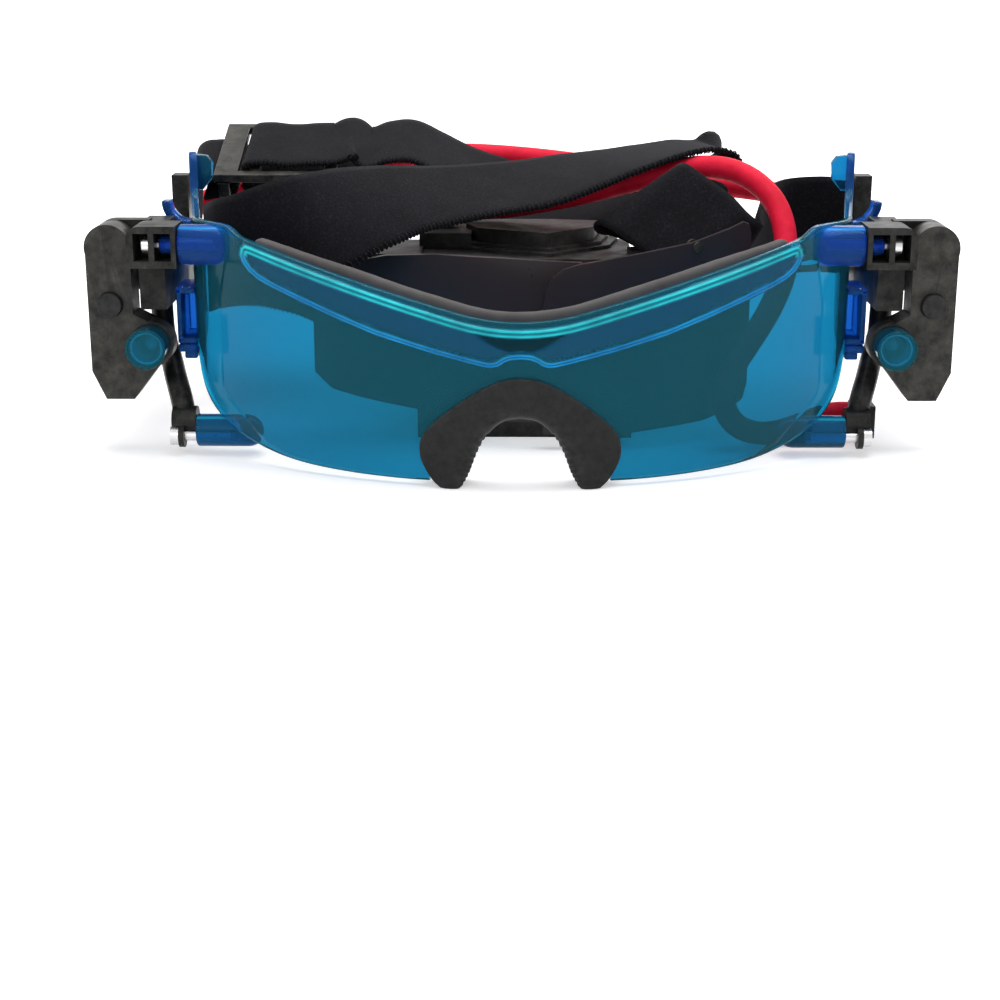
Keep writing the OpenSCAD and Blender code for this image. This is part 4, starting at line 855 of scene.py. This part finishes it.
BARREL_TIP = WING_X + 1.3
LOW_BARREL_TIP = WING_X - 0.8
BARREL_Y = FACE_DEPTH - 1.6
TOP_BARREL_Z = SIDE_TOP - 5.1
LOW_BARREL_Z = 5.6
TOP_SCREW_Y = BARREL_Y - 0.6
LOW_SCREW_Y = BARREL_Y - 1.4
LOW_SCREW_Z = LOW_BARREL_Z - 1
WEB_X = BARREL_TIP + 4.9
PILOT_RADIUS = 1.25


def barrel(tip, length, z, radius, screw_y, screw_z, sleeved):
    """A screw barrel with a domed inner end, a softened mouth and a pilot bore, opened off its axis."""
    start = tip - length
    dome = np.radians([12, 28, 44, 60, 75, 90])
    profile = [(start - radius, 0.01)]
    profile += [(start - radius * math.cos(a), radius * math.sin(a)) for a in dome]
    profile += [(tip - 0.5, radius), (tip - 0.15, radius - 0.15), (tip, radius - 0.5)]
    # The mouth narrows to the bore, whose axis lies a little off the barrel's
    bore = [(tip, PILOT_RADIUS + 0.35), (tip - 0.3, PILOT_RADIUS), (tip - 9, PILOT_RADIUS), (tip - 9.6, 0.01)]
    points = lathe_x(profile, BARREL_Y, z)[0] + lathe_x(bore, screw_y, screw_z)[0]
    parts = [(points, ring_faces(len(profile) + len(bore), BARREL_SIDES))]
    if sleeved:
        around = PILOT_RADIUS + 0.9
        sleeve = [(tip - 0.4, around), (WEB_X - 0.9, around), (WEB_X - 0.6, around - 0.3),
                  (WEB_X - 0.6, PILOT_RADIUS), (tip - 0.4, PILOT_RADIUS), (tip - 0.4, around)]
        parts.append(lathe_x(sleeve, screw_y, screw_z))
    return merge(parts)


def bevelled(work, edge):
    """Softens the edges of a mesh in the making, and gives its points and faces."""
    bmesh.ops.bevel(work, geom=work.edges[:], offset=edge, segments=2, profile=0.6, affect="EDGES")
    work.verts.index_update()
    points = [tuple(v.co) for v in work.verts]
    faces = [[v.index for v in f.verts] for f in work.faces]
    work.free()
    return points, faces


def rounded_box(low, high, edge=0.35):
    """A box with softened edges, as points and faces."""
    work = bmesh.new()
    bmesh.ops.create_cube(work, size=1.0)
    for v in work.verts:
        v.co = Vector([low[k] + (v.co[k] + 0.5) * (high[k] - low[k]) for k in range(3)])
    return bevelled(work, edge)


def curled_tab():
    """Quarter ring on the outside of the wing that holds a cord."""
    centre = np.array([WING_X + 2.9, WING_Y + 15.75, SIDE_TOP + 1.6])
    radius = 5.45
    half_thick = 0.95
    half_wide = 2.75
    corners = [(-1, -0.8), (-1, 0.8), (-0.75, 1), (0.75, 1), (1, 0.8), (1, -0.8), (0.75, -1), (-0.75, -1)]
    turns = np.linspace(math.radians(-97), 0, 15)
    points = []
    for a in turns:
        out = np.array([math.cos(a), 0, math.sin(a)])
        for thick, wide in corners:
            points.append(centre + out * (radius + thick * half_thick) + np.array([0, wide * half_wide, 0]))
    return points, closed_rings(len(turns), len(corners))


def wing_trim():
    """Lamp bracket, lug and cord hook on one wing, on the right."""
    base = WING_X - 0.6
    outer_x = WING_X + 3.7
    y0 = WING_Y - 4
    y1 = WING_Y + 8
    return merge([
        rounded_box((base, y0, 36.6), (outer_x, y1, 38)),
        rounded_box((base, y0, 25), (outer_x, y1, 26.4)),
        rounded_box((outer_x - 1.2, y0, 25.2), (outer_x, y1, 37.8)),
        rounded_box((base, y1 - 1.4, 25.2), (outer_x - 0.2, y1, 37.8)),
        rounded_box((base, y0, 22.9), (outer_x, WING_Y + 3, 24.8), 0.5),
        rounded_box((base, y0, 21.4), (outer_x - 1.4, WING_Y + 3, 23.1), 0.4),
        curled_tab()])


def rounded_plate(outline, y0, y1, edge=0.4):
    """A plate between two depths with softened edges, from its outline seen from the front."""
    work = bmesh.new()
    front = work.faces.new([work.verts.new((x, y0, z)) for x, z in outline])
    grown = bmesh.ops.extrude_face_region(work, geom=[front])["geom"]
    moved = [v for v in grown if isinstance(v, bmesh.types.BMVert)]
    bmesh.ops.translate(work, verts=moved, vec=(0, y1 - y0, 0))
    return bevelled(work, edge)


def horn_flange():
    """Flange turned in across the rear edge of a wing's horn, on the right."""
    tip = SIDE_TOP + 11.2
    outline = [(WING_END_X - 0.5, SIDE_TOP + 2), (WING_END_X - 0.5, tip - 1.6), (WING_END_X - 2.4, tip - 0.6),
               (WING_END_X - 5, tip - 0.9), (WING_END_X - 6.2, tip - 2.6), (WING_END_X - 5.8, SIDE_TOP + 4.6),
               (WING_END_X - 3.6, SIDE_TOP + 2)]
    return rounded_plate(outline, WING_END_Y - 3, WING_END_Y - 0.6)


STREAK_TURN = math.radians(118)


def streak(points, y, z):
    """A painted highlight: a bright line along a barrel's upper front, as a share for each point."""
    points = np.array(points)
    turn = np.arctan2(points[:, 2] - z, points[:, 1] - y)
    return 0.8 * np.exp(-((turn - STREAK_TURN) / 0.12) ** 2)


def paint_tint(obj, first_trim, trim_deep, trim_painted_light):
    """Masks for the tint: painted highlight on the band's ridges and the barrels' streaks, a little painted
    shade in the dip, and a deeper violet blue on edges, barrels and trim.
    """
    count = len(obj.data.vertices)
    at = np.zeros(count * 3)
    obj.data.vertices.foreach_get("co", at)
    at = at.reshape(-1, 3) / MM - np.array([0, SHIFT, 0])
    x, y, z = at.T
    front = y < CORNER_Y
    upper, lower = ridge_shares(x, z)
    # Light catches the ridges unevenly along their length
    glint = 0.8 + 0.14 * np.sin(0.19 * x + 0.9) + 0.06 * np.sin(1.1 * x)
    dip = blend_step(distance_to_outline(x, z, DIP_OUTLINE), 0.6)
    lines = np.clip(upper + lower, 0, 1)
    # Painted highlight along the band's ridges, varied by the glint, and a little painted shade in the dip
    painted_light = np.where(front, lines * glint - 0.13 * dip * (1 - lines), 0)
    on_wing = blend_step(y - WING_Y, 5)
    band = blend_step(distance_to_outline(x, z, BAND_OUTLINE) - 1.8, 1.6) * (1 - np.clip(upper, 0, 1))
    deep = np.where(front, np.maximum(0.35 * band * (1 - dip), np.clip(lower, 0, 1)), 0.55 * on_wing)
    horn = blend_step(z - SIDE_TOP - 2, 3)
    deep = np.maximum(deep, 0.8 * horn * (y > WING_Y))
    deep[first_trim:] = trim_deep
    # Painted highlight streaks on the barrels and trim
    painted_light[first_trim:] = trim_painted_light
    for name, values in (("painted_light", painted_light), ("deep", deep)):
        layer = obj.data.attributes.new(name, "FLOAT", "POINT")
        layer.data.foreach_set("value", values.astype(np.float32))


def make_shield():
    top = barrel(BARREL_TIP, 8.6, TOP_BARREL_Z, 4.6, TOP_SCREW_Y, TOP_BARREL_Z, sleeved=True)
    low = barrel(LOW_BARREL_TIP, 12, LOW_BARREL_Z, 3.8, LOW_SCREW_Y, LOW_SCREW_Z, sleeved=False)
    parts = [(top, 0.9), (low, 0.3), (wing_trim(), 0.8), (horn_flange(), 0.2)]
    right = merge([part for part, _ in parts])
    trim_deep = np.concatenate([np.full(len(part[0]), deep) for part, deep in parts])
    # Painted highlight: a bright streak along each barrel's upper front
    streaks = np.concatenate([streak(top[0], BARREL_Y, TOP_BARREL_Z), streak(low[0], BARREL_Y, LOW_BARREL_Z)])
    trim_painted_light = np.concatenate([streaks, np.zeros(len(trim_deep) - len(streaks))])
    shell = shield_shell()
    points, faces = merge([shell, right, flip_x(right)])
    obj = new_piece("shield_moulding", points, faces, "tinted_plastic")
    paint_tint(obj, len(shell[0]), np.tile(trim_deep, 2), np.tile(trim_painted_light, 2))
    recalculate(obj)
    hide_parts("shield")


make_shield()

# Nose piece: a ribbed rubber saddle lofted along its inverted V

NOSE_OUTER = [(0, 24.7), (4.3, 24.0), (8.6, 22.0), (12.9, 19.2), (17.3, 15.8), (20.2, 12.9), (21.7, 10.4),
              (21.6, 6.4), (19.4, 2.2), (17.4, 0.15)]
NOSE_INNER = [(0, 15.3), (3.2, 14.8), (5.4, 13.4), (7.2, 11.4), (8.6, 9.0), (9.6, 6.8), (10.4, 4.6),
              (11.0, 3.0), (11.8, 1.4), (12.6, 0.15)]
NOSE_STEPS = 10
NOSE_FRONT = -1.9
RIBS = 15
RIB_DEPTH = 0.32
# The section past the front face: share of the way from outer to inner edge, and depth
INNER_EDGE = ((0.93, 0.1), (0.99, 1.2), (1.0, 3.0), (1.0, 5.5), (0.97, 7.2))
BACK_FACE = ((0.75, 6.1), (0.45, 6.1), (0.12, 5.8), (0.03, 4.7), (0.03, 2.7), (0.12, 2.2), (0.12, 0.2),
             (0.0, 0.1), (0.0, -1.3))


def nose_section(outer, inner, share):
    """Points round the saddle's section, at a share of the way from its top to its foot."""
    across = inner - outer
    away = -across / np.linalg.norm(across)
    ribbed = 0.3 < share < 0.97
    rib = RIB_DEPTH * (0.5 + 0.5 * math.cos(share * 2 * math.pi * RIBS)) if ribbed else 0.0
    section = []
    # Front face from the outer edge to the inner one, domed a little, then round to the back
    for t in np.linspace(0, 1, 9):
        dome = 0.55 * (4 * t * (1 - t)) ** 0.6
        section.append((outer + across * (0.04 + 0.8 * t), NOSE_FRONT + 0.6 - dome))
    section += [(outer + across * t + away * rib, y) for t, y in INNER_EDGE]
    section += [(outer + across * t, y) for t, y in BACK_FACE]
    return section


def make_nose_piece():
    outer = smooth(NOSE_OUTER, NOSE_STEPS)
    inner = smooth(NOSE_INNER, NOSE_STEPS)
    count = len(outer)
    rings = [(i, -1) for i in range(count - 1, 0, -1)] + [(i, 1) for i in range(count)]
    points = []
    for i, side in rings:
        for (x, z), y in nose_section(outer[i], inner[i], i / (count - 1)):
            bow = FACE_RADIUS - math.sqrt(FACE_RADIUS ** 2 - x * x)
            points.append((side * x, y + bow, max(z, 0.05)))
    faces = closed_rings(len(rings), len(points) // len(rings))
    obj = new_piece("nose_saddle", points, faces, "black_rubber")
    recalculate(obj)
    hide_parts("nose_piece")


make_nose_piece()


# Soft strip behind the brow

PAD_IN = SHELL_WALL + 0.12
PAD_THICK = 2.9
PAD_HEIGHT = 6
PAD_RISE = 1.8


def make_brow_strip():
    """A soft strip with a rounded top along the inside of the brow, which swells and dips a little."""
    count = 181
    places = np.linspace(-CORNER_X, CORNER_X, count)
    turn = np.linspace(0, 2 * math.pi, 21)[:-1]
    points = []
    for i, x in enumerate(places):
        at, out = plan(math.copysign(FACE_RADIUS * math.asin(min(abs(x) / FACE_RADIUS, 1)), x))
        # The strip sinks behind the brow edge towards its ends
        sink = 1.3 * max(0.0, (abs(x) - 36) / (CORNER_X - 36)) ** 1.5
        top = brow_line(x, BROW_LOWER - PAD_RISE, BROW_SLOPE) - sink
        wave = 0.05 * math.sin(x * 0.31) + 0.02 * math.sin(x * 1.3 + 1)
        end = min(i, count - 1 - i)
        close = min(1.0, 0.25 + 0.3 * end)
        for a in turn:
            c, d = math.cos(a), math.sin(a)
            # A rounded box: a superellipse of high power
            across = math.copysign(abs(c) ** 0.55, c) * (PAD_THICK / 2 - 0.02) * close
            up = math.copysign(abs(d) ** 0.5, d) * PAD_HEIGHT / 2 * close
            deep = PAD_IN + PAD_THICK / 2 + across
            lift = top - PAD_HEIGHT / 2 + up + (wave - 0.2) * max(0.0, d)
            points.append((at[0] - out[0] * deep, at[1] - out[1] * deep, lift))
    obj = new_piece("brow_strip", points, closed_rings(count, len(turn)), "foam_strip")
    recalculate(obj)
    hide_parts("brow_pad")


make_brow_strip()

# Nodes that keep their own solid get their material, and bevelled edges by modifiers


SHARP_ANGLE = 35
# Width of the rounded edges in millimetres, for the nodes of a name and for both sides of a pair
SOFT_EDGES = {"side_frame": 0.35, "slider_buckle": 0.35, "pack_case": 0.4, "pack_cover": 0.3,
              "lamp_shell": 0.35, "lamp_cover": 0.3, "lamp_button": 0.3, "lamp_lens": 0.25,
              "forehead_band": 0.25, "cord_glands": 0.25}


def soften(obj, width):
    """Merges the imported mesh's doubled points, rounds its edges and shades it smooth."""
    weld = obj.modifiers.new("weld", "WELD")
    weld.merge_threshold = 1e-6
    flat = obj.modifiers.new("flat", "DECIMATE")
    flat.decimate_type = "DISSOLVE"
    flat.angle_limit = math.radians(0.5)
    bevel = obj.modifiers.new("bevel", "BEVEL")
    bevel.width = width * MM
    bevel.segments = 2
    bevel.limit_method = "ANGLE"
    bevel.angle_limit = math.radians(SHARP_ANGLE)
    bevel.use_clamp_overlap = True
    bevel.harden_normals = False
    obj.data.polygons.foreach_set("use_smooth", [True] * len(obj.data.polygons))
    normals = obj.modifiers.new("normals", "WEIGHTED_NORMAL")
    normals.keep_sharp = True


for name, obj in nodes.items():
    if obj.hide_render or obj.hide_viewport:
        continue
    obj.data.materials.clear()
    obj.data.materials.append(materials[slot_of[name]])
    base = name.removesuffix("_left").removesuffix("_right")
    if base in SOFT_EDGES:
        soften(obj, SOFT_EDGES[base])


# Studio

FLOOR_HALF = 6.0


def area_light(name, at, target, size, power):
    lamp = bpy.data.lights.new(name, "AREA")
    lamp.shape = "RECTANGLE"
    lamp.size, lamp.size_y = size
    lamp.energy = power
    obj = bpy.data.objects.new(name, lamp)
    obj.location = at
    obj.rotation_euler = (Vector(target) - Vector(at)).to_track_quat("-Z", "Y").to_euler()
    bpy.context.scene.collection.objects.link(obj)


def floor_material():
    """White floor that keeps the object's shadow, and lifts to white far from the object."""
    material, tree, output = new_material("floor")
    diffuse = add(tree, "BsdfDiffuse", Color=(0.9, 0.9, 0.9, 1))
    spread = add(tree, "VectorMath", operation="LENGTH")
    link(tree, coordinates(tree), spread.inputs[0])
    strength = ramp(tree, spread.outputs["Value"], [(0.15, 0.45), (0.5, 0.95)])
    glow = add(tree, "Emission", Color=(1, 1, 1, 1))
    link(tree, math_node(tree, "MULTIPLY", seen_rays(tree), strength), glow.inputs["Strength"])
    both = add(tree, "AddShader")
    link(tree, diffuse.outputs[0], both.inputs[0])
    link(tree, glow.outputs[0], both.inputs[1])
    link(tree, both.outputs[0], output.inputs["Surface"])
    return material


def make_studio():
    mesh = bpy.data.meshes.new("floor")
    corners = [(x * FLOOR_HALF, y * FLOOR_HALF, 0) for x, y in ((-1, -1), (1, -1), (1, 1), (-1, 1))]
    mesh.from_pydata(corners, [], [(0, 1, 2, 3)])
    mesh.materials.append(floor_material())
    floor = bpy.data.objects.new("floor", mesh)
    bpy.context.scene.collection.objects.link(floor)
    world = bpy.data.worlds.new("studio")
    bpy.context.scene.world = world
    world.use_nodes = True
    tree = world.node_tree
    tree.nodes.clear()
    output = add(tree, "OutputWorld")
    soft = add(tree, "Background", Color=(0.95, 0.97, 1.0, 1), Strength=0.45)
    white = add(tree, "Background", Color=(1, 1, 1, 1), Strength=1.0)
    link(tree, blend_shaders(tree, seen_rays(tree), soft, white), output.inputs["Surface"])
    area_light("ceiling", (0.05, 0.05, 0.75), (0, 0, 0.03), (0.7, 0.5), 5.0)
    area_light("front", (-0.35, -0.75, 0.45), (0, 0, 0.03), (0.5, 0.3), 1.0)
    area_light("back", (0.3, 0.7, 0.5), (0, 0, 0.05), (0.5, 0.3), 1.4)


make_studio()
bpy.context.scene.view_settings.view_transform = "Standard"
